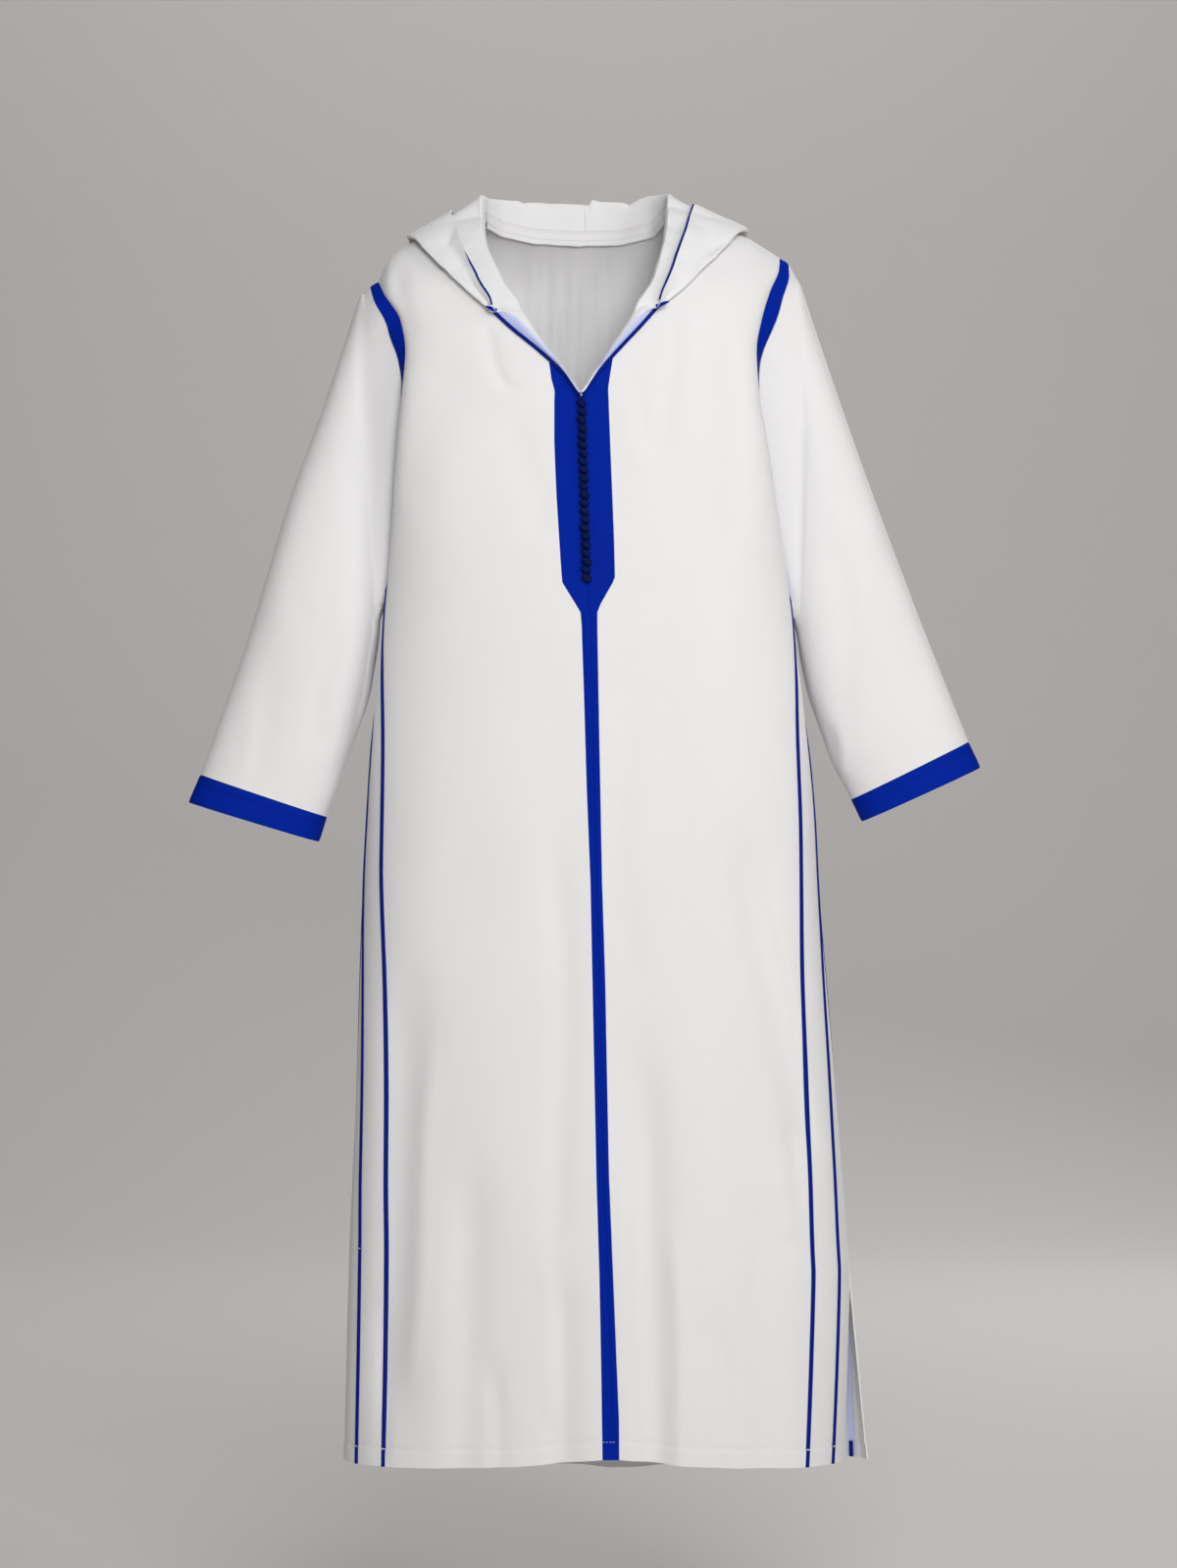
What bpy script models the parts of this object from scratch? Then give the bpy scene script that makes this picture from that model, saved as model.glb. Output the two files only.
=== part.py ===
"""Djellaba robe: long hooded robe, filled out by nobody and held at its shoulders.

Lengths are in millimetres and become metres where a mesh is made. X runs to the
viewer's right, Z up and Y to the back, so the front of the robe faces -Y. The
origin is the middle of the neck, between the shoulders.
"""
import math

import bpy
import numpy as np

MM = 0.001

# Driving dimensions
CLOTH = 1.3               # thickness of the sewn cloth
HOOD_CLOTH = 1.8          # two plies of the lined hood
BAND_CLOTH = 1.0          # single ply round the armholes
GAP = 0.3                 # between sewn pieces
SEAM_PULL = 0.2           # each piece is drawn back from a shared seam line by this
BAND_PULL = 0.8           # the armhole band, which meets its neighbours at an angle
SLEEVE_PULL = 0.8
SEAM_THIN = 0.6           # part of its thickness that the cloth keeps at the sleeve's seam
HEAD_CLEAR = 1.4          # the sleeve's head stands clear where the band turns back beside the body
HEAD_NEAR = 6.0
SHOULDER_ROUND = 80.0     # height over which a shoulder rounds into the chest
RIDGE_Y = 2.0             # the shoulder seams lie this far behind the origin
FRONT_POWER = (2.6, 2.2)  # roundness of the front and back half rings
NECK_BACK_Z = 3.0         # middle of the seam between hood and back panel
GORE_WIDTH = 40.0         # straight strip between the first and second stripe
HEM_FRONT = (-1364.0, -1374.0, -1378.0)   # at the centre strip, half way and at the side
HEM_BACK = (-1404.0, -1396.0, -1380.0)
PLACKET_TOP = -185.0      # at the point of the V
KNOTS = 22
KNOT_RADIUS = 4.6
KNOT_SIDES = 8
CORD_WIDTH = 5.0
CORD_HEIGHT = 1.6
CORD_LIFT = 0.5
HOLLOW_LIFT = 0.8         # in the hollow of the side
CUFF_RISE = 0.8           # the turned cuff is thicker than the sleeve

# Rows of the robe's rings: height, left edge, centre line, right edge,
# depth of the front and back side points, depth of the front and back middle
RING = (
    (40, -231, 1, 226, -26, 26, -8, 78),
    (0, -231, 1, 226, -27, 27, -42, 80),
    (-34, -231, 1, 224, -30, 30, -58, 84),
    (-62, -222, 1, 213, -37, 36, -72, 88),
    (-95, -202, 1, 203, -48, 45, -84, 91),
    (-130, -196, 1, 197, -54, 49, -91, 93),
    (-180, -200, 1, 200, -58, 52, -96, 96),
    (-220, -204, 2, 207, -57, 53, -98, 98),
    (-270, -208, 3, 215, -51, 52, -100, 99),
    (-330, -212, 6, 224, -42, 50, -102, 100),
    (-400, -218, 9, 234, -30, 48, -103, 100),
    (-460, -225, 10, 242, -29, 44, -104, 100),
    (-520, -231, 12, 250, -27, 38, -104, 100),
    (-650, -240, 15, 263, -16, 24, -105, 101),
    (-730, -245, 18, 268, -10, 15, -105, 102),
    (-950, -253, 23, 287, -3, 3, -106, 103),
    (-1160, -262, 28, 304, 0, 0, -108, 105),
    (-1410, -268, 34, 328, 0, 0, -110, 108),
)
# Blue middle of the front: height, left edge, right edge
MIDDLE = (
    (0, -33, 34), (-147, -33, 34), (-235, -30, 33), (-344, -24, 37),
    (-392, -20, 37), (-425, 0, 19), (-507, 3, 20), (-725, 11, 24), (-942, 15, 30),
    (-1160, 21, 36), (-1410, 25, 43),
)
# Side strips: height, first stripe ahead of the side point, half width of the flared strip
SIDE = (
    (-395, 0, 2), (-450, 15, 4), (-572, 33, 10), (-727, 43, 16), (-838, 54, 21),
    (-949, 62, 25), (-1160, 71, 31), (-1400, 79, 39),
)
SLIT_TOP = {"left": -1140.0, "right": -1157.0}
# How far the front and the back edge of each open slit stand in from the ring at the hem
SLIT_IN = {"left": (0.0, 7.0), "right": (28.0, 0.0)}
SLIT_HALF = 3.0
SIDE_HOLLOW = 9.0         # the side is drawn in behind the front, where the sleeve hangs
HOLLOW_END = -640.0
HOLLOW_FADE = 150.0
FIT_FADE = 120.0          # below the underarm the side strips take their full width
SEAM_LEVEL = -1060.0      # from here down the side seam runs in the middle of the side
TROUGH_FADE = 30.0        # troughs die out this near the side
ARMHOLE_TOP = {"left": -48.0, "right": -21.0}
ARMHOLE_X = {"left": -231.0, "right": 226.0}
UNDERARM = {"left": -395.0, "right": -407.0}
# Ridge of the shoulders: place across, height
RIDGE = (
    (-240, -52), (-231, -48), (-215, -19), (-194, -4), (-169, 8), (-135, 17), (-105, 23),
    (6, 28), (96, 32), (131, 23), (159, 14), (187, 3), (209, -10), (226, -21), (234, -26),
)
# Cut edge of the front panels from the placket's corner to the neck: place across, height
NECK_EDGE = {
    "left": ((-33, -144), (-47, -132), (-63, -109), (-76, -90), (-95, -62), (-108, -34), (-113, 22)),
    "right": ((34, -141), (56, -114), (68, -94), (84, -67), (93, -44), (99, -17), (103, 29)),
}
# Soft troughs of the cloth: top across and up, bottom across and up, half width, depth
FRONT_TROUGHS = (
    (-205, -20, -197, -95, 10, 3), (103, -66, 100, -120, 9, 3), (157, -70, 169, -180, 13, 4),
    (-190, -780, -208, -1260, 28, 7), (172, -640, 246, -990, 20, 7), (-24, -1130, -20, -1400, 20, 5),
    (66, -860, 84, -1400, 24, 8), (-120, -1000, -128, -1400, 24, 4), (196, -1040, 206, -1400, 22, 4),
)
BACK_TROUGHS = (
    (-150, -560, -168, -1420, 34, 11), (-58, -700, -62, -1420, 30, 9), (48, -620, 60, -1420, 32, 11),
    (150, -520, 176, -1420, 34, 10), (206, -900, 226, -1420, 22, 6), (-214, -860, -222, -1420, 20, 6),
)
# Steps down an armhole and from the underarm to the hem, as parts of each length
ARM_STEPS = (0, 0.03, 0.075, 0.13, 0.21, 0.32, 0.45, 0.6, 0.76, 0.9, 1)
SKIRT_STEPS = (0.034, 0.085, 0.15, 0.24, 0.33, 0.43, 0.52, 0.61, 0.7, 0.774, 0.85, 0.925, 1)
KNEE_MIDDLE = -392.0      # the underarm row at the robe's middle
ROW_COUNT = len(ARM_STEPS) + len(SKIRT_STEPS)
KNEE = len(ARM_STEPS) - 1
# Columns of the main panels, as parts of the way from the middle to the first stripe: first
# along the neck and the shoulder seam, where front and back share them, then at the hem
NECK_COLUMNS = 4
SHOULDER_PARTS = (0, 0.18, 0.37, 0.56, 0.74, 0.89, 1)
LOW_FRONT = (0, 0.13, 0.25, 0.36, 0.46, 0.55, 0.64, 0.73, 0.82, 0.91, 1)
LOW_BACK = (0, 0.12, 0.24, 0.36, 0.46, 0.55, 0.64, 0.73, 0.82, 0.91, 1)
# The underarm's points, front to back: side strip and column in it
UNDER_POINTS = ((0, 1), (0, 2), (1, 0), (3, 0), (3, 1), (3, 2))
STRIP_COLUMNS = (3, 2, 2, 3)
# Blue armhole band: part of the way down, step out, step up and step to the middle depth
BAND = (
    (0, 10, -6, 0), (0.07, 13, -7, 2), (0.15, 15, -9, 9), (0.25, 8, -9, 13), (0.35, 1, -3, 16),
    (0.5, -2, 0, 17), (0.65, -1, -1, 13), (0.8, 1, -2, 9), (0.92, 4, -3, 6), (1, 6, -4, 3),
)
BAND_BACK_OUT = 8.0       # at the back it stands out from the panel
BAND_BACK_IN = 7.0
BAND_NARROWS = 2.0        # from the shoulder to the underarm
BAND_MIDDLE = 4.0         # depth that the front and the back of the band close in on
BAND_TURN = 30.0
BAND_SWELL = 1.0
# Sleeve sections: outer edge across and up, inner edge across and up, middle depth, half depth
SLEEVE = {
    "left": (
        (-251, -67, -227, -430, 8, 35), (-267, -114, -229, -455, 9, 39),
        (-294, -194, -233, -482, 9, 43), (-327, -283, -239, -516, 9, 45),
        (-354, -372, -250, -549, 10, 45), (-381, -460, -265, -590, 11, 43),
        (-412, -549, -278, -629, 12, 40), (-432, -605, -288, -653, 13, 38),
    ),
    "right": (
        (249, -52, 245, -446, 8, 35), (264, -96, 249, -473, 9, 39),
        (290, -172, 254, -499, 9, 43), (320, -258, 260, -522, 9, 45),
        (354, -349, 275, -564, 10, 45), (388, -438, 286, -594, 11, 43),
        (420, -518, 298, -616, 12, 40), (440, -568, 307, -633, 13, 38),
    ),
}
CUFF = {
    "left": ((-432, -605, -288, -653, 13, 38), (-445, -636, -297, -681, 14, 39)),
    "right": ((440, -568, 307, -633, 13, 38), (453, -597, 319, -658, 14, 39)),
}
SLEEVE_POWER = 2.3        # roundness of a sleeve's section
HEAD_POWER = 1.6          # added where it leaves the boxy armhole
# Facing rolled outward: roll line and outer edge, each across, depth and up
FACING = {
    "left": (
        (-2, -101, -178, -3, -104, -183), (-18, -99, -154, -25, -102, -157),
        (-40, -95, -126, -50, -98, -132), (-56, -90, -102, -75, -94, -108),
        (-65, -85, -87, -96, -87, -88),
    ),
    "right": (
        (5, -101, -176, 7, -104, -181), (18, -99, -155, 23, -102, -157),
        (35, -95, -128, 45, -98, -130), (50, -90, -105, 67, -94, -104),
        (59, -85, -89, 85, -87, -83),
    ),
}
FACING_TUCK = (0.0, 6.0, 1.0)
FACING_LIFT = 0.5         # its outer edge above the front panel
RIM_LIFT = 0.8            # the rim's piping above the hood's folded edge
END_SHORT = 0.06          # a piping stops short by this part of its last step
PIPING = 2.3              # blue piping along the facing's edge and the hood's rim
# Hood stations from the tab to the middle of the back. Each is a walk along the cloth:
# neck seam, roll or top fold, outer fold and rim, each across, depth and up
HOOD = {
    "left": (
        ((-70, -68, -82), (-70, -80, -77), (-106, -79, -82), (-102, -90, -74)),
        ((-86, -53, -60), (-86, -66, -52), (-123, -71, -67), (-113, -82, -57)),
        ((-98, -40, -36), (-98, -52, -28), (-140, -60, -51), (-125, -68, -32)),
        ((-105, -24, -14), (-105, -38, -10), (-158, -48, -34), (-134, -52, -8)),
        ((-108, -8, 8), (-110, -16, 17), (-176, -28, -17), (-141, -28, 14)),
        ((-107, 8, 24), (-111, 6, 48), (-194, 6, 0), (-146, 4, 34)),
        ((-98, 30, 24), (-101, 30, 49), (-168, 100, -75), (-128, 78, 6)),
        ((-70, 49, 12), (-72, 51, 48), (-118, 108, -185), (-82, 106, -28)),
        ((-34, 56, 8), (-36, 60, 48), (-58, 112, -285), (-40, 122, -55)),
        ((4.8, 59, 6), (4.8, 62, 48), (4.8, 114, -345), (4.8, 130, -62)),
    ),
    "right": (
        ((63, -68, -84), (63, -80, -79), (97, -79, -76), (92, -90, -67)),
        ((77, -53, -66), (77, -67, -58), (113, -73, -62), (101, -82, -46)),
        ((86, -40, -40), (86, -54, -32), (132, -62, -42), (110, -64, -18)),
        ((92, -24, -16), (92, -38, -10), (152, -48, -22), (119, -44, 8)),
        ((96, -8, 10), (96, -16, 17), (169, -28, -5), (124, -22, 26)),
        ((98, 8, 33), (98, 6, 49), (187, 6, 8), (129, 4, 40)),
        ((94, 30, 27), (95, 30, 51), (166, 100, -75), (120, 78, 10)),
        ((70, 49, 14), (72, 51, 48), (120, 108, -185), (84, 106, -26)),
        ((38, 56, 8), (40, 60, 48), (64, 112, -285), (46, 122, -55)),
        ((5.2, 59, 6), (5.2, 62, 48), (5.2, 114, -345), (5.2, 130, -62)),
    ),
}
NECK_SEAM = 0.55          # hood above the back panel's neck edge
SEAM_START = 14.0         # depth behind which the hood follows that edge
SEAM_BLEND = 14.0
UNDER_CLEAR = 5.2         # middle of the hood's lower ply above the body's cloth
OVER_CLEAR = 9.6          # middle of its upper ply
TURN_FRONT = 4.0          # the hood turns over this far at the front
TURN_MORE = 4.0           # and this much further at the back
TURN_CREST = 1.8
FOLD_HALF = 2.4           # half the distance between the plies at the outer fold
LOWER_PARTS = (0.1, 0.18, 0.26, 0.35, 0.5, 0.72)
UPPER_PARTS = (0.25, 0.5, 0.75, 1.0)
# Places of the hood's rows between its stations, closest where it turns over the shoulder
HOOD_ROWS = (0, 0.9, 1.8, 2.7, 3.5, 4.2, 4.8, 5.15, 5.4, 5.6, 5.8, 6.1, 6.5, 7, 7.5, 8, 8.5, 9)
# Row of knots: top and bottom, across and up
KNOT_LINE = ((1, -192), (7, -392))

WHITE = (0.80, 0.81, 0.84)
BLUE = (0.025, 0.045, 0.42)
NAVY = (0.008, 0.012, 0.10)

SIGN = {"left": -1.0, "right": 1.0}


def smooth(rows, column, place):
    """One column of a table at a place along its first column, with no overshoot."""
    table = np.array(sorted(row[:] for row in rows), float)
    spots = table[:, 0]
    values = table[:, column]
    slopes = np.diff(values) / np.diff(spots)
    tangents = np.zeros(len(spots))
    for k in range(1, len(spots) - 1):
        before = slopes[k - 1]
        after = slopes[k]
        if before * after > 0:
            tangents[k] = 2 * before * after / (before + after)
    tangents[0] = slopes[0]
    tangents[-1] = slopes[-1]
    place = float(np.clip(place, spots[0], spots[-1]))
    k = int(np.clip(np.searchsorted(spots, place) - 1, 0, len(slopes) - 1))
    width = spots[k + 1] - spots[k]
    t = (place - spots[k]) / width
    first = (1 + 2 * t) * (1 - t) ** 2 * values[k] + t * (1 - t) ** 2 * width * tangents[k]
    last = t * t * (3 - 2 * t) * values[k + 1] - t * t * (1 - t) * width * tangents[k + 1]
    return first + last


# ---------------------------------------------------------------- the body's rings

def ridge(x):
    """Height of the shoulder ridge above a place across the robe."""
    return smooth(RIDGE, 1, x)


def rounded(x, y, z):
    """Depth y drawn in towards the shoulder seam near the top of the robe."""
    below = min(1.0, max(0.0, ridge(x) - z) / SHOULDER_ROUND)
    return RIDGE_Y + (y - RIDGE_Y) * math.sqrt(1 - (1 - below) ** 2)


def trough(x, z, rows):
    """Depth of the soft troughs at one place."""
    total = 0.0
    for top_x, top_z, low_x, low_z, half, depth in rows:
        part = (z - top_z) / (low_z - top_z)
        if 0 < part < 1.2:
            ends = min(1.0, part / 0.3) * min(1.0, (1.2 - part) / 0.2)
            off = (x - top_x - (low_x - top_x) * part) / half
            total += depth * ends * ends * (3 - 2 * ends) * math.exp(-off * off)
    return total


class Ring:
    """Half of the robe's ring at one height, walked from the front to the back middle."""

    def __init__(self, side, z):
        row = [smooth(RING, k, z) for k in range(1, 8)]
        left, centre, right, front_side, back_side, front, back = row
        edge = abs((left if side == "left" else right) - centre)
        open_part = (SLIT_TOP[side] - z) / (SLIT_TOP[side] - HEM_BACK[2])
        open_part = min(1.0, max(0.0, open_part))
        insets = [part * open_part for part in SLIT_IN[side]]
        turns = 1 - (1 - np.linspace(0, 1, 40)) ** 2.2
        power, root = FRONT_POWER
        bow = (1 - turns ** power) ** (1 / root)
        ahead = np.stack([turns * (edge - insets[0]), front_side + (front - front_side) * bow], 1)
        behind = np.stack([turns * (edge - insets[1]), back_side + (back - back_side) * bow], 1)
        turn = np.linspace(0, 1, 9)[1:-1]
        hollow = SIDE_HOLLOW * min(1.0, max(0.0, (z - HOLLOW_END) / HOLLOW_FADE))
        reach = ahead[-1, 0] + (behind[-1, 0] - ahead[-1, 0]) * turn
        reach -= hollow * np.sin(math.pi * turn) ** 1.5
        flank = np.stack([reach, front_side + (back_side - front_side) * turn], 1)
        points = np.concatenate([ahead, flank, behind[::-1]])
        steps = np.linalg.norm(np.diff(points, axis=0), axis=1)
        self.walk = np.concatenate([[0.0], np.cumsum(steps)])
        self.points = points
        self.count = len(turns)
        self.centre = centre
        self.sign = SIGN[side]
        self.side_front = self.walk[self.count - 1]
        self.side_back = self.walk[-self.count]
        self.z = z

    def front_walk(self, x):
        """Distance walked to the place on the front that is x across."""
        reach = (x - self.centre) * self.sign
        count = self.count
        return float(np.interp(reach, self.points[:count, 0], self.walk[:count]))

    def back_walk(self, x):
        """Distance walked to the place on the back that is x across."""
        reach = (x - self.centre) * self.sign
        count = self.count
        across = self.points[-count:, 0][::-1]
        return float(np.interp(reach, across, self.walk[-count:][::-1]))

    def at(self, walk):
        """Point of the outer face at a distance walked."""
        reach = float(np.interp(walk, self.walk, self.points[:, 0]))
        y = float(np.interp(walk, self.walk, self.points[:, 1]))
        x = self.centre + self.sign * reach
        if walk < self.side_front:
            share = min(1.0, (self.side_front - walk) / TROUGH_FADE)
            y += share * trough(x, self.z, FRONT_TROUGHS)
        elif walk > self.side_back:
            share = min(1.0, (walk - self.side_back) / TROUGH_FADE)
            y -= share * trough(x, self.z, BACK_TROUGHS)
        return np.array([x, rounded(x, y, self.z), self.z])


RINGS = {}


def ring(side, z):
    """The ring at a height, kept for later use."""
    key = (side, round(z, 2))
    if key not in RINGS:
        RINGS[key] = Ring(side, z)
    return RINGS[key]


def seams(side, z):
    """Distances walked to the four stripes and the side seam, front to back."""
    here = ring(side, z)
    underarm = UNDERARM[side]
    if z >= underarm:
        return here.side_front, None, None, None, here.side_back
    bottom = SIDE[-1][0]
    level = SIDE[0][0] + (z - underarm) * (bottom - SIDE[0][0]) / (bottom - underarm)
    ahead = smooth(SIDE, 1, level)
    half = smooth(SIDE, 2, level)
    flank = here.side_back - here.side_front
    near = max(0.0, 1 - (underarm - z) / FIT_FADE)
    fit = 1 + near * (flank / (2 * GORE_WIDTH + 2 * half) - 1)
    first = here.side_front - ahead
    second = first + GORE_WIDTH * fit
    middle = second + half * fit
    third = middle + half * fit
    fourth = third + GORE_WIDTH * fit
    if z <= SEAM_LEVEL:
        middle = here.side_front + flank / 2
    return first, second, middle, third, fourth


def step_height(side, part, top, bottom, step):
    """Height of a row in a column that stands a part of the way to the side."""
    count = len(ARM_STEPS)
    knee = KNEE_MIDDLE + (UNDERARM[side] - KNEE_MIDDLE) * part
    if step < count:
        return top + (knee - top) * ARM_STEPS[step]
    return knee + (bottom - knee) * SKIRT_STEPS[step - count]


def hem(heights, part):
    """Hem height between the middle and the side."""
    return smooth(((0, heights[0]), (0.5, heights[1]), (1, heights[2])), 1, part)


# ---------------------------------------------------------------- meshes

def material(name, colour, roughness):
    """Principled material with a flat colour."""
    made = bpy.data.materials.get(name)
    if made is None:
        made = bpy.data.materials.new(name)
        made.use_nodes = True
        shader = made.node_tree.nodes["Principled BSDF"]
        shader.inputs["Base Color"].default_value = (*colour, 1)
        shader.inputs["Roughness"].default_value = roughness
        shader.inputs["Metallic"].default_value = 0.0
    return made


def add_object(name, points, faces, colour, roughness=0.75):
    """One named object from points in millimetres."""
    mesh = bpy.data.meshes.new(name)
    mesh.from_pydata([tuple(np.asarray(p) * MM) for p in points], [], faces)
    mesh.materials.append(material(name, colour, roughness))
    mesh.update()
    made = bpy.data.objects.new(name, mesh)
    bpy.context.scene.collection.objects.link(made)
    return made


def normals_of(grid, closed):
    """Unit normals of a grid of points; closed grids wrap from the last column to the first."""
    if closed:
        wide = np.concatenate([grid[:, -1:], grid, grid[:, :1]], axis=1)
        across = wide[:, 2:] - wide[:, :-2]
    else:
        across = np.gradient(grid, axis=1)
    down = np.gradient(grid, axis=0)
    normal = np.cross(across, down)
    length = np.linalg.norm(normal, axis=2, keepdims=True)
    return normal / np.maximum(length, 1e-9)


def trimmed(grid, closed, edges, pull):
    """Grid drawn back along the named edges."""
    grid = grid.copy()

    def draw(edge, inner):
        step = inner - edge
        length = np.linalg.norm(step, axis=-1, keepdims=True)
        return edge + step / np.maximum(length, 1e-9) * pull

    if "top" in edges:
        grid[0] = draw(grid[0], grid[1])
    if "bottom" in edges:
        grid[-1] = draw(grid[-1], grid[-2])
    if not closed and "first" in edges:
        grid[:, 0] = draw(grid[:, 0], grid[:, 1])
    if not closed and "last" in edges:
        grid[:, -1] = draw(grid[:, -1], grid[:, -2])
    return grid


class Cloth:
    """A piece's outer face as a grid of points, with the normals that its wall follows."""

    def __init__(self, grid, closed=False, middle=(10.0, 0.0)):
        self.grid = np.array(grid, float)
        self.closed = closed
        self.normal = normals_of(self.grid, closed)
        if closed:
            away = self.grid - self.grid.mean(axis=1, keepdims=True)
        else:
            away = self.grid - np.array([middle[0], middle[1], 0.0])
            away[..., 2] = 0
        if np.sum(self.normal * away) < 0:
            self.normal = -self.normal

    def wall(self, name, colour, thickness=CLOTH, edges="", pull=SEAM_PULL, centred=False):
        """Closed wall that lies inside the outer face."""
        grid = trimmed(self.grid, self.closed, edges, pull)
        outer = grid + self.normal * (thickness / 2 if centred else 0.0)
        inner = outer - self.normal * thickness
        rows, columns = grid.shape[:2]
        points = list(outer.reshape(-1, 3)) + list(inner.reshape(-1, 3))
        below = rows * columns
        faces = []

        def quad(a, b, c, d):
            faces.append((a, b, c))
            faces.append((a, c, d))

        spans = columns if self.closed else columns - 1
        last = (rows - 1) * columns
        for j in range(spans):
            k = (j + 1) % columns
            for i in range(rows - 1):
                a, b = i * columns + j, i * columns + k
                c, d = a + columns, b + columns
                quad(a, b, d, c)
                quad(below + a, below + c, below + d, below + b)
            quad(j, below + j, below + k, k)
            quad(last + j, last + k, below + last + k, below + last + j)
        if not self.closed:
            for i in range(rows - 1):
                a, b = i * columns, (i + 1) * columns
                quad(a, b, below + b, below + a)
                a, b = a + columns - 1, b + columns - 1
                quad(a, below + a, below + b, b)
        return add_object(name, points, outward(points, faces), colour)


def mitre(*edges):
    """Pieces that meet along an edge share one normal there, so that their walls meet in a plane.

    Each edge is a view into a piece's normals, in the same order along the seam.
    """
    shared = sum(np.array(edge) for edge in edges)
    shared /= np.maximum(np.linalg.norm(shared, axis=1, keepdims=True), 1e-9)
    for edge in edges:
        edge[:] = shared


def outward(points, faces):
    """Faces turned so that the closed shape has a positive volume."""
    p = np.asarray(points, float)
    f = np.asarray(faces)
    volume = np.einsum("ij,ij->i", p[f[:, 0]], np.cross(p[f[:, 1]], p[f[:, 2]])).sum()
    return faces if volume > 0 else [face[::-1] for face in faces]


def cord(name, path, normal, colour, width=CORD_WIDTH, height=CORD_HEIGHT, lift=CORD_LIFT):
    """Low flat-bottomed cord along a path on a surface."""
    path = np.array(path, float)
    normal = np.array(normal, float)
    along = np.gradient(path, axis=0)
    along /= np.linalg.norm(along, axis=1, keepdims=True)
    normal -= along * np.sum(along * normal, axis=1, keepdims=True)
    normal /= np.linalg.norm(normal, axis=1, keepdims=True)
    across = np.cross(along, normal)
    profile = ((-0.5, 0.0), (-0.38, 0.75), (0.0, 1.0), (0.38, 0.75), (0.5, 0.0))
    points = []
    for k in range(len(path)):
        for side, rise in profile:
            points.append(path[k] + across[k] * side * width + normal[k] * (lift + rise * height))
    count = len(profile)
    faces = []
    for k in range(len(path) - 1):
        for j in range(count):
            n = (j + 1) % count
            a, b = k * count + j, k * count + n
            faces.append((a, b, b + count))
            faces.append((a, b + count, a + count))
    last = (len(path) - 1) * count
    for j in range(1, count - 1):
        faces.append((0, j + 1, j))
        faces.append((last, last + j, last + j + 1))
    return add_object(name, points, outward(points, faces), colour)


# ---------------------------------------------------------------- body panels

def shoulder_tops(side):
    """Top points of the columns along the shoulder seam: across and up."""
    start = NECK_EDGE[side][-1][0]
    end = ARMHOLE_X[side]
    spots = [start + (end - start) * part for part in SHOULDER_PARTS]
    tops = [(x, ridge(x)) for x in spots]
    tops[-1] = (end, ARMHOLE_TOP[side])
    return tops


def along(points, count):
    """Evenly spaced points along a line of points, without its last one."""
    points = np.array(points, float)
    walk = np.concatenate([[0], np.cumsum(np.linalg.norm(np.diff(points, axis=0), axis=1))])
    spots = np.linspace(0, walk[-1], count + 1)[:-1]
    return [(float(np.interp(t, walk, points[:, 0])), float(np.interp(t, walk, points[:, 1])))
            for t in spots]


def panel_grid(side, tops, low_parts, hems, on_front):
    """Outer face of a main panel from its inner edge to the stripe beside it."""

    def limits(z):
        here = ring(side, z)
        if on_front:
            start = here.front_walk(smooth(MIDDLE, 1 if side == "left" else 2, z))
            return here, start, seams(side, z)[0]
        return here, here.walk[-1], seams(side, z)[4]

    columns = []
    for (x, top), low in zip(tops, low_parts):
        here, start, end = limits(top)
        walk = here.front_walk(x) if on_front else here.back_walk(x)
        high = min(1.0, max(0.0, (walk - start) / (end - start)))
        high = 1.0 if low == 1 else high
        column = []
        for step in range(ROW_COUNT):
            z = step_height(side, low, top, hem(hems, low), step)
            ease = min(1.0, step / KNEE)
            ease = ease * ease * (3 - 2 * ease)
            here, start, end = limits(z)
            column.append(here.at(start + (end - start) * (high + (low - high) * ease)))
        columns.append(column)
    return np.array(columns).transpose(1, 0, 2)


def front_grid(side):
    """Outer face of a main front panel."""
    tops = along(NECK_EDGE[side], NECK_COLUMNS) + shoulder_tops(side)
    return panel_grid(side, tops, LOW_FRONT, HEM_FRONT, True)


def back_half(side):
    """Outer face of half the back panel."""
    x = NECK_EDGE[side][-1][0]
    neck = [(smooth(RING, 2, 0), NECK_BACK_Z), (x * 0.45, NECK_BACK_Z + 2),
            (x * 0.8, NECK_BACK_Z + 9), (x, ridge(x))]
    tops = along(neck, NECK_COLUMNS) + shoulder_tops(side)
    return panel_grid(side, tops, LOW_BACK, HEM_BACK, False)


def strip_grid(side, first, second, columns, bottom):
    """Outer face of a side strip between two of the seams."""
    rows = []
    for step in range(KNEE, ROW_COUNT):
        z = step_height(side, 1, ARMHOLE_TOP[side], bottom, step)
        z = min(z, UNDERARM[side] - 0.01)
        here = ring(side, z)
        marks = seams(side, z)
        ends = []
        for k in (first, second):
            place = marks[k]
            if k == 2 and z < SLIT_TOP[side]:
                place += -SLIT_HALF if first < 2 else SLIT_HALF
            ends.append(place)
        rows.append([here.at(ends[0] + (ends[1] - ends[0]) * j / columns)
                     for j in range(columns + 1)])
    return np.array(rows)


def side_strips(side):
    """The four side strips of one side, front to back."""
    bottoms = (HEM_FRONT[2], HEM_FRONT[2], HEM_BACK[2], HEM_BACK[2])
    return [Cloth(strip_grid(side, k, k + 1, STRIP_COLUMNS[k], bottoms[k])) for k in range(4)]


def stripes(side, strips):
    """Ribbed cords over the four panel seams of one side."""
    marks = ((0, 0), (1, 0), (3, 0), (3, -1))
    for k, (strip, column) in enumerate(marks):
        piece = strips[strip]
        lift = HOLLOW_LIFT if k in (1, 2) else CORD_LIFT
        cord("stripe_%d_%s" % (k + 1, side), piece.grid[1:, column],
             piece.normal[1:, column], BLUE, lift=lift)


# ---------------------------------------------------------------- sleeves

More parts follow.
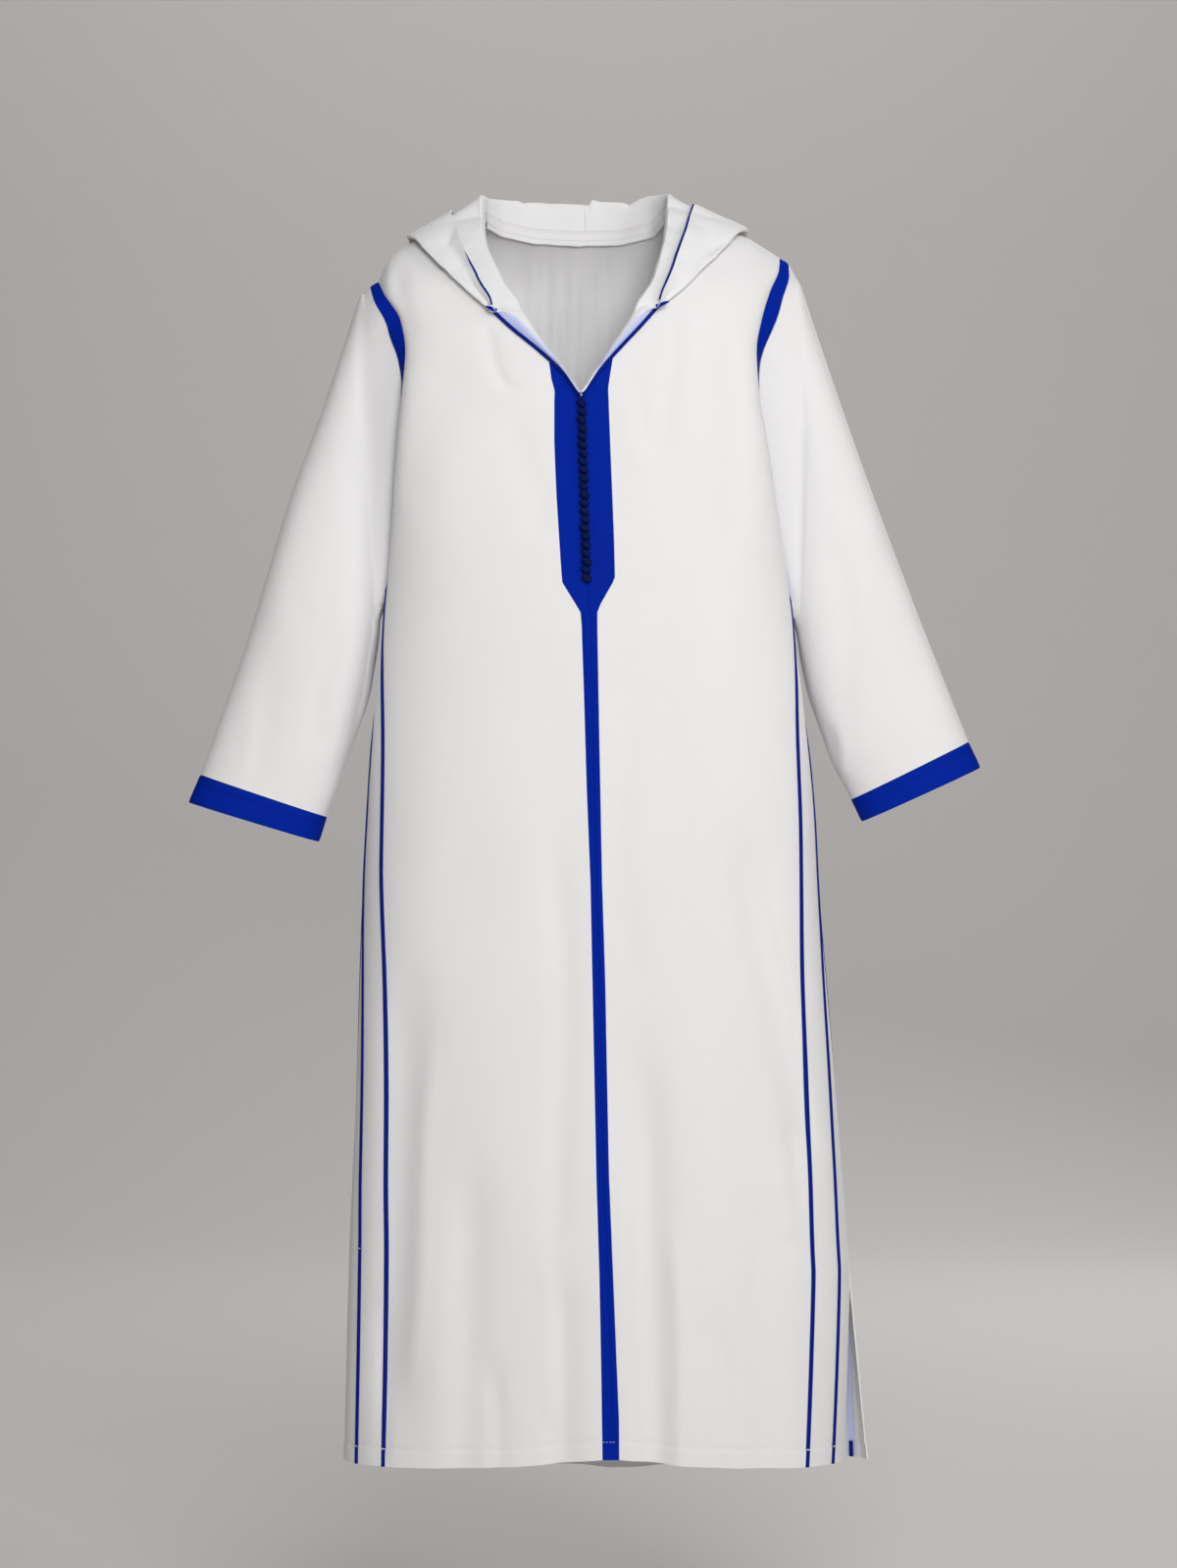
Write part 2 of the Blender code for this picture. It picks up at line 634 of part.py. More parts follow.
def armhole_loop(front, back, strips, attribute):
    """Closed edge of the body at the armhole: down the front, under and up the back."""
    ahead = list(getattr(front, attribute)[:KNEE + 1, -1])
    under = [getattr(strips[k], attribute)[0, j] for k, j in UNDER_POINTS]
    behind = list(back[attribute][:KNEE + 1])[::-1]
    return np.array(ahead + under + behind[:-1])


def band_steps(side, loop):
    """Steps from the body's armhole edge to the sleeve, all round."""
    low = UNDERARM[side]
    high = ARMHOLE_TOP[side]
    steps = []
    for x, y, z in loop:
        part = (high - z) / (high - low)
        out = smooth(BAND, 1, part)
        up = smooth(BAND, 2, part)
        inward = smooth(BAND, 3, part)
        share = max(-1.0, min(1.0, (BAND_MIDDLE - y) / BAND_TURN))
        if y > BAND_MIDDLE:
            out = max(out, BAND_BACK_OUT - BAND_NARROWS * part)
            inward = min(inward, BAND_BACK_IN)
        steps.append((SIGN[side] * out, share * inward, up))
    return np.array(steps)


def section(row, angles, power=SLEEVE_POWER):
    """Ring of a sleeve section with a point at each angle, from its outer edge to the front."""
    out_x, out_z, in_x, in_z, depth, half = row
    outer = np.array([out_x, depth, out_z], float)
    inner = np.array([in_x, depth, in_z], float)
    centre = (outer + inner) / 2
    points = []
    for angle in angles:
        c, s = math.cos(angle), math.sin(angle)
        size = (abs(c) ** power + abs(s) ** power) ** (-1 / power)
        points.append(centre + (outer - centre) * c * size + np.array([0, -half * s * size, 0]))
    return np.array(points)


def angles_of(loop):
    """Directions of an armhole's points from its middle, from the top round by the front."""
    middle = (loop.max(axis=0) + loop.min(axis=0)) / 2
    half = (loop.max(axis=0) - loop.min(axis=0)) / 2
    return [math.atan2((middle[1] - y) / half[1], (z - middle[2]) / half[2]) for x, y, z in loop]


def sleeve(side, loop, loop_normal):
    """Armhole band, sleeve and cuff of one side; gives the band back for its shared edge."""
    head = loop + band_steps(side, loop)
    middle = (loop + head) / 2 + np.array([SIGN[side] * BAND_SWELL, 0, 0])
    band = Cloth([loop, middle, head], closed=True)
    angles = angles_of(head)
    start = head.copy()
    start[:, 0] += SIGN[side] * HEAD_CLEAR * np.clip(1 - abs(head - loop)[:, 0] / HEAD_NEAR, 0, 1)
    rows = [start]
    for k, row in enumerate(SLEEVE[side]):
        rows.append(section(row, angles, SLEEVE_POWER + HEAD_POWER * math.exp(-k)))
    rows.insert(1, (rows[0] + rows[1]) / 2)
    tube = Cloth(rows, closed=True)
    first, last = CUFF[side]
    middle_row = [(a + b) / 2 for a, b in zip(first, last)]
    cuff = Cloth([section(row, angles) for row in (first, middle_row, last)], closed=True)
    mitre(band.normal[-1], tube.normal[0])
    band.normal[-1] *= SEAM_THIN
    tube.normal[0] *= SEAM_THIN
    band.normal[0] += loop_normal
    band.normal[0] /= np.linalg.norm(band.normal[0], axis=1, keepdims=True)
    band.wall("armhole_" + side, BLUE, BAND_CLOTH, edges="top bottom", pull=BAND_PULL)
    tube.wall("sleeve_" + side, WHITE, edges="top bottom", pull=SLEEVE_PULL)
    cuff.wall("cuff_" + side, BLUE, thickness=CLOTH + CUFF_RISE, edges="top")


# ---------------------------------------------------------------- blue middle

def middle_grid(tops, columns, steps):
    """Grid over the front's middle, whose rows lie level with those of the panels beside it."""
    rows = []
    for step in steps:
        row = []
        for j in range(columns + 1):
            part = j / columns
            top = float(np.interp(part, (0, 0.5, 1), tops))
            z = step_height("left", 0, top, HEM_FRONT[0], step)
            x = (1 - part) * smooth(MIDDLE, 1, z) + part * smooth(MIDDLE, 2, z)
            side = "left" if x < smooth(RING, 2, z) else "right"
            here = ring(side, z)
            row.append(here.at(here.front_walk(x)))
        rows.append(row)
    return np.array(rows)


def middle_pieces():
    """Placket and centre strip."""
    tops = (NECK_EDGE["left"][0][1], PLACKET_TOP, NECK_EDGE["right"][0][1])
    placket = Cloth(middle_grid(tops, 6, range(KNEE + 2)))
    placket.wall("placket", BLUE, edges="top bottom first last")
    strip = Cloth(middle_grid(tops, 2, range(KNEE + 1, ROW_COUNT)))
    strip.wall("centre_strip", BLUE, edges="top first last")


def knot_row():
    """Row of knotted buttons as one cord that swells at each knot."""
    top, bottom = KNOT_LINE
    rings = []
    for k in range(2 * KNOTS + 1):
        part = k / (2 * KNOTS)
        x = top[0] + (bottom[0] - top[0]) * part
        z = top[1] + (bottom[1] - top[1]) * part
        here = ring("left" if x < smooth(RING, 2, z) else "right", z)
        face = here.at(here.front_walk(x))[1]
        radius = KNOT_RADIUS if k % 2 else KNOT_RADIUS * 0.45
        centre = np.array([x, face - KNOT_RADIUS - GAP, z])
        rings.append([centre + radius * np.array([math.cos(a), math.sin(a) * 0.9, 0])
                      for a in np.linspace(0, 2 * math.pi, KNOT_SIDES + 1)[:-1]])
    points = [p for one in rings for p in one]
    faces = []
    for i in range(len(rings) - 1):
        for j in range(KNOT_SIDES):
            a, b = i * KNOT_SIDES + j, i * KNOT_SIDES + (j + 1) % KNOT_SIDES
            faces.append((a, b, b + KNOT_SIDES))
            faces.append((a, b + KNOT_SIDES, a + KNOT_SIDES))
    last = (len(rings) - 1) * KNOT_SIDES
    for j in range(1, KNOT_SIDES - 1):
        faces.append((0, j + 1, j))
        faces.append((last, last + j, last + j + 1))
    add_object("knots", points, outward(points, faces), NAVY)


# ---------------------------------------------------------------- hood and facings

def clear_of_body(point, clearance):
    """Point moved out until it clears the body's outer face."""
    x, y, z = point
    top = ridge(x)
    back = y > RIDGE_Y
    side = "left" if x < smooth(RING, 2, z) else "right"
    here = ring(side, min(z, top - SHOULDER_ROUND * 0.3))
    walk = here.back_walk(x) if back else here.front_walk(x)
    depth = float(np.interp(walk, here.walk, here.points[:, 1]))
    reach = abs(depth - RIDGE_Y) + clearance
    below = (top + clearance - z) / SHOULDER_ROUND
    out = abs(y - RIDGE_Y)
    if below <= 0 or out >= reach:
        return point
    limit = reach * math.sqrt(1 - (1 - min(1.0, below)) ** 2)
    if out >= limit:
        return point
    height = top + clearance - SHOULDER_ROUND * (1 - math.sqrt(1 - (out / reach) ** 2))
    push_y = limit - out
    push_z = max(height - z, 1e-6)
    size = 1 / (1 / push_y ** 2 + 1 / push_z ** 2)
    sign = 1.0 if back else -1.0
    return np.array([x, y + sign * size / push_y, z + size / push_z])


def hood_walk(station):
    """Points along the hood's cloth at one station, from the neck seam to the rim."""
    seam, top, fold, rim = [np.array(p, float) for p in station]
    lean = min(1.0, abs(fold[1]) / 60.0)
    apart = np.array([0.0, math.copysign(lean, fold[1]), 1.0 - lean])
    half = FOLD_HALF * min(1.0, np.linalg.norm(rim - fold) / 14.0)
    apart *= half / np.linalg.norm(apart)
    outward_step = (fold - top) / np.linalg.norm(fold - top) * half
    lower = fold - apart
    upper = fold + apart
    rise = (top - seam) / np.linalg.norm(top - seam)
    over = fold - top - rise * np.dot(fold - top, rise)
    over *= (TURN_FRONT + TURN_MORE * np.clip(fold[1] / 60.0, 0, 1)) / np.linalg.norm(over)
    turned = top + over
    points = [seam, seam + (top - seam) * 0.55, top, top + over / 2 + rise * TURN_CREST, turned]
    points += [turned + (lower - turned) * part for part in LOWER_PARTS]
    points += [lower, fold + outward_step, upper]
    points += [upper + (rim - upper) * part for part in UPPER_PARTS]
    return np.array(points)


def between(rows, places):
    """Rows of a grid at places between given rows, joined by smooth curves."""
    rows = np.array(rows, float)
    out = []
    for t in places:
        k = min(int(t), len(rows) - 2)
        u = t - k
        a = rows[max(k - 1, 0)]
        b = rows[k]
        c = rows[k + 1]
        d = rows[min(k + 2, len(rows) - 1)]
        out.append(0.5 * (2 * b + (c - a) * u + (2 * a - 5 * b + 4 * c - d) * u * u
                          + (3 * b - a - 3 * c + d) * u ** 3))
    return np.array(out)


def nearest(line, point):
    """Nearest point of a line of points."""
    best = line[0]
    for a, b in zip(line, line[1:]):
        t = np.clip(np.dot(point - a, b - a) / np.dot(b - a, b - a), 0, 1)
        spot = a + (b - a) * t
        if np.linalg.norm(spot - point) < np.linalg.norm(best - point):
            best = spot
    return best


def surface(x, z):
    """Depth of the front's outer face."""
    side = "left" if x < smooth(RING, 2, z) else "right"
    here = ring(side, z)
    return here.at(here.front_walk(x))[1]


def hood(side, neck):
    """Half of the hood, its facing and the piping along the edge and the rim."""
    walks = between([hood_walk(station) for station in HOOD[side]], HOOD_ROWS)
    for walk in walks:
        share = np.clip((walk[0, 1] - SEAM_START) / SEAM_BLEND, 0, 1)
        sewn = nearest(neck, walk[0]) + np.array([0, 0, NECK_SEAM])
        step = (sewn - walk[0]) * share
        walk[0] += step
        walk[1] += step * 0.5
    lower_count = 5 + len(LOWER_PARTS) + 1
    for i in range(len(walks)):
        for j in range(2, walks.shape[1]):
            clearance = UNDER_CLEAR if j < lower_count else OVER_CLEAR
            walks[i, j] = clear_of_body(walks[i, j], clearance)
    half = Cloth(walks)
    half.normal[-1, :, 0] = 0
    half.normal[-1] /= np.linalg.norm(half.normal[-1], axis=1, keepdims=True)
    half.wall("hood_" + side, WHITE, thickness=HOOD_CLOTH, centred=True)
    rows = []
    for row in FACING[side]:
        roll = np.array(row[:3], float)
        edge = np.array(row[3:], float)
        swell = (roll + edge) / 2 + np.array([0, -2.0, 0])
        rows.append([roll + np.array(FACING_TUCK), roll, swell, edge])
    rows = between(rows, np.linspace(0, len(rows) - 1, 9))
    for row in rows:
        row[-1, 1] = surface(row[-1, 0], row[-1, 2]) - CLOTH - FACING_LIFT
    facing = Cloth(rows)
    facing.wall("facing_" + side, WHITE)
    flat = facing.grid[:, -1] - facing.grid[:, -2]
    flat[:, 1] = 0
    tipped = walks[1:, -1] - walks[1:, -2]
    trims = (("edge_", facing.grid, flat, GAP), ("rim_", walks[1:], tipped, RIM_LIFT))
    for name, piece, normal, lift in trims:
        line = piece[:, -1].copy()
        line[-1] += (line[-2] - line[-1]) * END_SHORT
        cord(name + side, line, normal, BLUE, width=PIPING, height=PIPING, lift=lift)


def clear_scene():
    """Empty scene."""
    for old in list(bpy.data.objects):
        bpy.data.objects.remove(old, do_unlink=True)


def main():
    clear_scene()
    back_sides = {side: back_half(side) for side in SIGN}
    back = Cloth(np.concatenate([back_sides["left"][:, ::-1], back_sides["right"][:, 1:]], axis=1))
    shoulder = len(SHOULDER_PARTS)
    for side in SIGN:
        front = Cloth(front_grid(side))
        strips = side_strips(side)
        edge = 0 if side == "left" else -1
        ridge_edge = slice(0, shoulder) if side == "left" else slice(-shoulder, None)
        over = back.normal[0, ridge_edge]
        mitre(front.normal[0, -shoulder:], over[::-1] if side == "left" else over)
        mitre(front.normal[KNEE:, -1], strips[0].normal[:, 0])
        mitre(back.normal[KNEE:, edge], strips[3].normal[:, -1])
        for k in range(3):
            mitre(strips[k].normal[:, -1], strips[k + 1].normal[:, 0])
        behind = {"grid": back.grid[:, edge], "normal": back.normal[:, edge]}
        loop = armhole_loop(front, behind, strips, "grid")
        normal = armhole_loop(front, behind, strips, "normal")
        sleeve(side, loop, normal)
        front.wall("front_" + side, WHITE, edges="top first last")
        names = ("gore_front_", "side_front_", "side_back_", "gore_back_")
        for name, strip in zip(names, strips):
            strip.wall(name + side, WHITE, edges="top first last")
        stripes(side, strips)
        hood(side, back_sides[side][0])
    back.wall("back_panel", WHITE, edges="top first last")
    middle_pieces()
    knot_row()


main()
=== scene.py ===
"""Djellaba robe, dressed: fine cloth shells, trims, knots, stitching and materials on the CAD frame.

Lengths are in millimetres and become metres where a mesh is made. X runs to the
viewer's right, Z up and Y to the back, so the front of the robe faces -Y.
"""

import math

import bpy
import numpy as np
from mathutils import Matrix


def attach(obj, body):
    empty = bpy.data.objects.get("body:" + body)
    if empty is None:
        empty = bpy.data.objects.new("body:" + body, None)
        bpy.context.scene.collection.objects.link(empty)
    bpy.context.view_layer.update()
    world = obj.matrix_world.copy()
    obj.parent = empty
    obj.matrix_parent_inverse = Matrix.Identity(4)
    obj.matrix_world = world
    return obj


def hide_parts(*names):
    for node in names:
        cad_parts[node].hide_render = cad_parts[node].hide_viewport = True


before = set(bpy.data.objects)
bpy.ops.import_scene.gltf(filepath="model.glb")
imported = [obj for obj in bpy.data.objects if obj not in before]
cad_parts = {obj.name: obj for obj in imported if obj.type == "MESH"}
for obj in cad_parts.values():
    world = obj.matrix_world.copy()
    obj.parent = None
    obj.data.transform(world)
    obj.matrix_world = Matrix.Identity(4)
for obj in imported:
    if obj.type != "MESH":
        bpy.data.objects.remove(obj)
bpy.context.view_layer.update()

MM = 0.001
SIGN = {"left": -1.0, "right": 1.0}
# Wall thicknesses
CLOTH = 1.3
HOOD_CLOTH = 1.8
TAPE_CLOTH = 0.5
# Rounding of the shoulders and the front, and the neck at the back
SHOULDER_ROUND = 80.0
RIDGE_Y = 2.0
FRONT_POWER = (2.6, 2.2)
NECK_BACK_Z = 3.0
# Hems: depth of the turned edge, heights at the middle, half way and at the side
HEM_TURN = 20.0
HEM_FRONT = (-1364.0, -1374.0, -1378.0)
HEM_BACK = (-1404.0, -1396.0, -1380.0)
# Blue middle: tip of the neck opening, end of the placket, height the strip's rows count from
PLACKET_TOP = -185.0
KNEE_MIDDLE = -392.0
STRIP_TOP = -150.0
# Side slits: where they start and how their front and back edges part
SLIT_TOP = {"left": -1140.0, "right": -1157.0}
SLIT_IN = {"left": (0.0, 7.0), "right": (28.0, 0.0)}
SLIT_OPENS = 70.0
SLIT_FRONT_IN = {"left": 1.0, "right": 11.0}
SLIT_BACK_IN = 1.0
SLIT_EASE = 1.2
SLIT_FLAT = {"left": 0.0, "right": 0.6}
SLIT_ABOVE = 4.0
# Side strips: width of the stripes' pieces, hollow under the arm, fit at the armhole, side seam
GORE_WIDTH = 40.0
SIDE_HOLLOW = 9.0
HOLLOW_END = -640.0
HOLLOW_FADE = 150.0
FIT_FADE = 120.0
SEAM_LEVEL = -1060.0
SEAM_FADE = 60.0
TROUGH_FADE = 30.0
# Armholes
ARMHOLE_TOP = {"left": -48.0, "right": -21.0}
ARMHOLE_X = {"left": -231.0, "right": 226.0}
UNDERARM = {"left": -395.0, "right": -407.0}

# Rows of the robe's rings: height, left edge, centre line, right edge,
# depth of the front and back side points, depth of the front and back middle
RING = (
    (40, -231, 1, 226, -26, 26, -8, 78),
    (0, -231, 1, 226, -27, 27, -42, 80),
    (-34, -231, 1, 224, -30, 30, -58, 84),
    (-62, -222, 1, 213, -37, 36, -72, 88),
    (-95, -202, 1, 203, -48, 45, -84, 91),
    (-130, -196, 1, 197, -54, 49, -91, 93),
    (-180, -200, 1, 200, -58, 52, -96, 96),
    (-220, -204, 2, 207, -57, 53, -98, 98),
    (-270, -208, 3, 215, -51, 52, -100, 99),
    (-330, -212, 6, 224, -42, 50, -102, 100),
    (-400, -218, 9, 234, -30, 48, -103, 100),
    (-460, -225, 10, 242, -29, 44, -104, 100),
    (-520, -231, 12, 250, -27, 38, -104, 100),
    (-650, -240, 15, 263, -16, 24, -105, 101),
    (-730, -245, 18, 268, -10, 15, -105, 102),
    (-950, -253, 23, 287, -3, 3, -106, 103),
    (-1160, -262, 28, 304, 0, 0, -108, 105),
    (-1410, -268, 34, 328, 0, 0, -110, 108),
)
# Edges of the blue middle: height and place across
MIDDLE = {
    "left": ((0, -34), (-148, -34.6), (-165, -32.4), (-179, -28.6), (-192, -29.1), (-236, -29.1),
             (-290, -27), (-344, -23.7), (-392, -20.4), (-425, 0.2), (-442, 1.3), (-507, 3.5),
             (-616, 6.7), (-725, 11), (-833, 13.2), (-942, 15.4), (-1051, 17.6), (-1159, 20.9),
             (-1268, 23), (-1410, 25)),
    "right": ((0, 36), (-141, 36), (-160, 32.8), (-176, 30.6), (-236, 32.8), (-290, 35),
              (-344, 37.2), (-388, 38.2), (-422, 18.7), (-442, 18.7), (-507, 19.8), (-616, 21.9),
              (-725, 24), (-833, 27.4), (-942, 29.5), (-1051, 31.7), (-1159, 36), (-1268, 40.4),
              (-1322, 42.6), (-1410, 43)),
}
# Blue stripes: width, and the length over which the outer ones widen
STRIPE_WIDTH = 5.7
STRIPE_START = 90.0
# Side strips: height, first stripe ahead of the side point, half width of the flared strip
SIDE = (
    (-395, 0, 2), (-450, 15, 4), (-572, 37, 10), (-727, 53, 16), (-838, 65, 21),
    (-949, 73, 25), (-1055, 79, 28), (-1150, 85, 31), (-1250, 87, 35), (-1400, 88, 39),
)
# Ridge of the shoulders: place across, height
RIDGE = (
    (-240, -52), (-231, -48), (-215, -19), (-194, -4), (-169, 8), (-135, 17), (-105, 23),
    (6, 28), (96, 32), (131, 23), (159, 14), (187, 3), (209, -10), (226, -21), (234, -26),
)
NECK_EDGE = {
    "left": ((-33, -144), (-47, -132), (-63, -109), (-76, -90), (-95, -62), (-108, -34), (-113, 22)),
    "right": ((34, -141), (56, -114), (68, -94), (84, -67), (93, -44), (99, -17), (103, 29)),
}
# Soft troughs of the cloth: top across and up, bottom across and up, half width, depth
FRONT_TROUGHS = (
    (-205, -20, -197, -110, 11, 2), (100, -62, 96, -230, 13, 1.6), (157, -80, 176, -330, 18, 2),
    (-190, -780, -208, -1260, 28, 6), (172, -640, 246, -990, 24, 6), (-24, -1130, -20, -1400, 20, 5),
    (66, -860, 84, -1400, 24, 7), (-120, -1000, -128, -1400, 24, 4), (196, -1040, 206, -1400, 22, 4),
)
BACK_TROUGHS = (
    (-150, -560, -168, -1420, 34, 11), (-58, -700, -62, -1420, 30, 9), (48, -620, 60, -1420, 32, 11),
    (150, -520, 176, -1420, 34, 10), (206, -900, 226, -1420, 22, 6), (-214, -860, -222, -1420, 20, 6),
)
# How deep the troughs and swells are, how long the swells, and how little height counts in them
FOLDS = 1.5
FRONT_SWELL = 1.3
BACK_SWELL = 1.1
SWELL_LENGTH = 110.0
DROP = 0.3
# Finer folds, added to those of the solids: the same columns, and a negative depth is a ridge
FRONT_CREASES = (
    (-66, -190, -50, -330, 22, 1.6), (-26, -640, -22, -1080, 16, 2.6), (52, -470, 50, -800, 18, 1.6),
    (-160, -880, -190, -1240, 13, -2.2), (206, -700, 262, -980, 9, -1.8),
    (226, -985, 246, -1075, 8, 1.4), (218, -1035, 232, -1110, 7, -1.0), (226, -1118, 234, -1142, 6, 1.2),
    (-44, -1130, -30, -1300, 9, -1.8), (100, -1080, 112, -1400, 12, -2.4), (46, -1000, 58, -1400, 10, -2.0),
    (-90, -1240, -96, -1400, 12, 2.0), (150, -1180, 154, -1400, 14, 2.2), (-216, -1180, -222, -1360, 8, 1.4),
    (-150, -120, -176, -290, 26, 1.2), (128, -110, 142, -290, 22, -1.0), (84, -110, 74, -240, 14, 0.9),
    (-112, -96, -84, -170, 10, 1.4), (60, -140, 66, -230, 9, 1.0),
)
BACK_CREASES = (
    (-104, -620, -112, -1400, 16, -3.0), (-8, -600, -2, -1400, 18, -3.0), (102, -560, 116, -1400, 16, -3.0),
    (-190, -640, -200, -1400, 12, -2.4), (192, -700, 204, -1400, 12, -2.4), (20, -900, 26, -1400, 10, 2.2),
    (-130, -380, -120, -560, 24, 2.0), (140, -360, 126, -540, 22, 2.0), (-42, 20, -46, -150, 4, 2.4),
    (-31, 22, -32, -170, 4, 2.8), (-23, 20, -22, -120, 3, 2.2), (-12, 24, -10, -190, 5, 3.0),
    (0, 24, 2, -260, 5, 3.4), (9, 22, 10, -120, 3, 2.0), (22, 20, 24, -170, 5, 2.6),
    (-52, 16, -62, -110, 6, 2.0), (-80, 10, -100, -90, 8, 2.4), (36, 18, 40, -110, 4, 2.0),
    (44, 16, 52, -130, 6, 1.4), (72, 10, 92, -100, 8, 1.8),
    (-180, -150, -150, -330, 20, 2.4), (182, -150, 150, -330, 20, 2.4),
)
SLEEVE_CREASES = {
    "left": ((-210, -150, -236, -520, 24, 5.0), (-300, -240, -344, -420, 18, -1.4),
             (-268, -430, -300, -560, 13, 2.2), (-330, -460, -372, -600, 16, 1.6),
             (-266, -520, -284, -590, 8, -1.0), (-360, -520, -384, -610, 11, -1.0)),
    "right": ((208, -150, 224, -320, 14, 3.5), (288, -330, 302, -520, 14, 2.6),
              (276, -540, 288, -600, 8, 1.6), (288, -545, 298, -600, 7, -1.2),
              (330, -330, 372, -500, 18, 1.2),
              (300, -180, 330, -330, 15, -1.4)),
}
# Parts of the way down and across, for the rows and columns of the main panels
ARM_STEPS = (0, 0.03, 0.075, 0.13, 0.21, 0.32, 0.45, 0.6, 0.76, 0.9, 1)
LOW_COLUMNS = (0, 0.13, 0.25, 0.36, 0.46, 0.55, 0.64, 0.73, 0.82, 0.91, 1)
SHOULDER_PARTS = (0, 0.18, 0.37, 0.56, 0.74, 0.89, 1)
# Blue armhole band: part of the way down, step out, step up and step to the middle depth
BAND = (
    (0, 10, -6, 0), (0.07, 13, -7, 2), (0.15, 15, -9, 9), (0.25, 8, -9, 13), (0.35, 1, -3, 16),
    (0.5, -3, 0, 17), (0.65, -4, 0, 15), (0.8, -5, -1, 13), (0.92, -5, -1, 10), (0.98, -1, -2, 10),
    (1, 3, -4, 9),
)
# The band at the back, and how the sleeve's head clears it
BAND_BACK_OUT = 8.0
BAND_BACK_IN = 7.0
BAND_NARROWS = 2.0
BAND_MIDDLE = 4.0
BAND_TURN = 30.0
HEAD_CLEAR = 1.4
HEAD_NEAR = 6.0
# Sleeve sections: outer edge across and up, inner edge across and up, middle depth, half depth
SLEEVE = {
    "left": (
        (-251, -67, -227, -430, 8, 35), (-267, -114, -229, -455, 9, 39),
        (-294, -194, -233, -482, 9, 43), (-327, -283, -239, -516, 9, 45),
        (-354, -372, -250, -549, 10, 45), (-381, -460, -265, -590, 11, 43),
        (-412, -549, -278, -629, 12, 40), (-432, -605, -288, -653, 13, 38),
    ),
    "right": (
        (249, -52, 245, -446, 8, 35), (264, -96, 249, -473, 9, 39),
        (290, -172, 254, -499, 9, 43), (320, -258, 260, -522, 9, 45),
        (354, -349, 275, -564, 10, 45), (388, -438, 286, -594, 11, 43),
        (420, -518, 298, -616, 12, 40), (440, -568, 307, -633, 13, 38),
    ),
}
CUFF = {
    "left": ((-432, -605, -288, -653, 13, 38), (-445, -636, -297, -681, 14, 39)),
    "right": ((440, -568, 307, -633, 13, 38), (453, -597, 319, -658, 14, 39)),
}
# Squareness of the sleeve's sections and its head, and how far the cuff stands proud
SLEEVE_POWER = 2.3
HEAD_POWER = 1.6
CUFF_RISE = 0.8
# Cuff: rows down it, how far they stand out, and the row on its stitch line
CUFF_PARTS = (0, 0.02, 0.08, 0.2, 0.29, 0.32, 0.35, 0.5, 0.65, 0.8, 0.9, 0.96, 1)
CUFF_SWELL = ((0, 0.02, 0.08, 0.29, 0.32, 0.35, 0.8, 0.96, 1),
              (-0.5, 0, 0.3, 0.3, 0.0, 0.3, 0.5, 0.2, -0.4))
CUFF_STITCH = 5
# Rows over which the sleeve's creases begin and end
CREASES_FROM = 4
CREASES_FADE = 12.0
CREASES_END = 6.0
# Facing rolled outward: roll line and outer edge, each across, depth and up
FACING = {
    "left": (
        (0.3, -102, -180, 0.2, -104, -182), (-3, -101, -177, -3.9, -103.5, -178.4),
        (-18, -99, -154, -20, -102, -156.2),
        (-40, -95, -126, -46, -98, -132), (-56, -90, -102, -75, -94, -108),
        (-65, -84, -87, -96, -87, -88), (-69, -76.5, -80, -100, -83, -81),
    ),
    "right": (
        (1.3, -102, -180, 1.4, -104, -182), (5.5, -101, -175, 6.3, -103.5, -176.2),
        (18, -99, -155, 19.6, -102, -156.6),
        (35, -95, -128, 41, -98, -132), (50, -90, -105, 67, -94, -104),
        (59, -84, -89, 85, -87, -83), (62, -76.5, -82, 90, -83, -76),
    ),
}
# Facing: step from the roll line to its hidden edge, height above the panel
FACING_TUCK = (0.0, 6.0, 1.0)
FACING_LIFT = 0.5
# Where the facing's blue begins across it: part of the way up, part of its width
FACING_BLUE = ((0, 0.25, 0.55, 0.85, 1), (0.1, 0.25, 0.42, 0.62, 0.95))
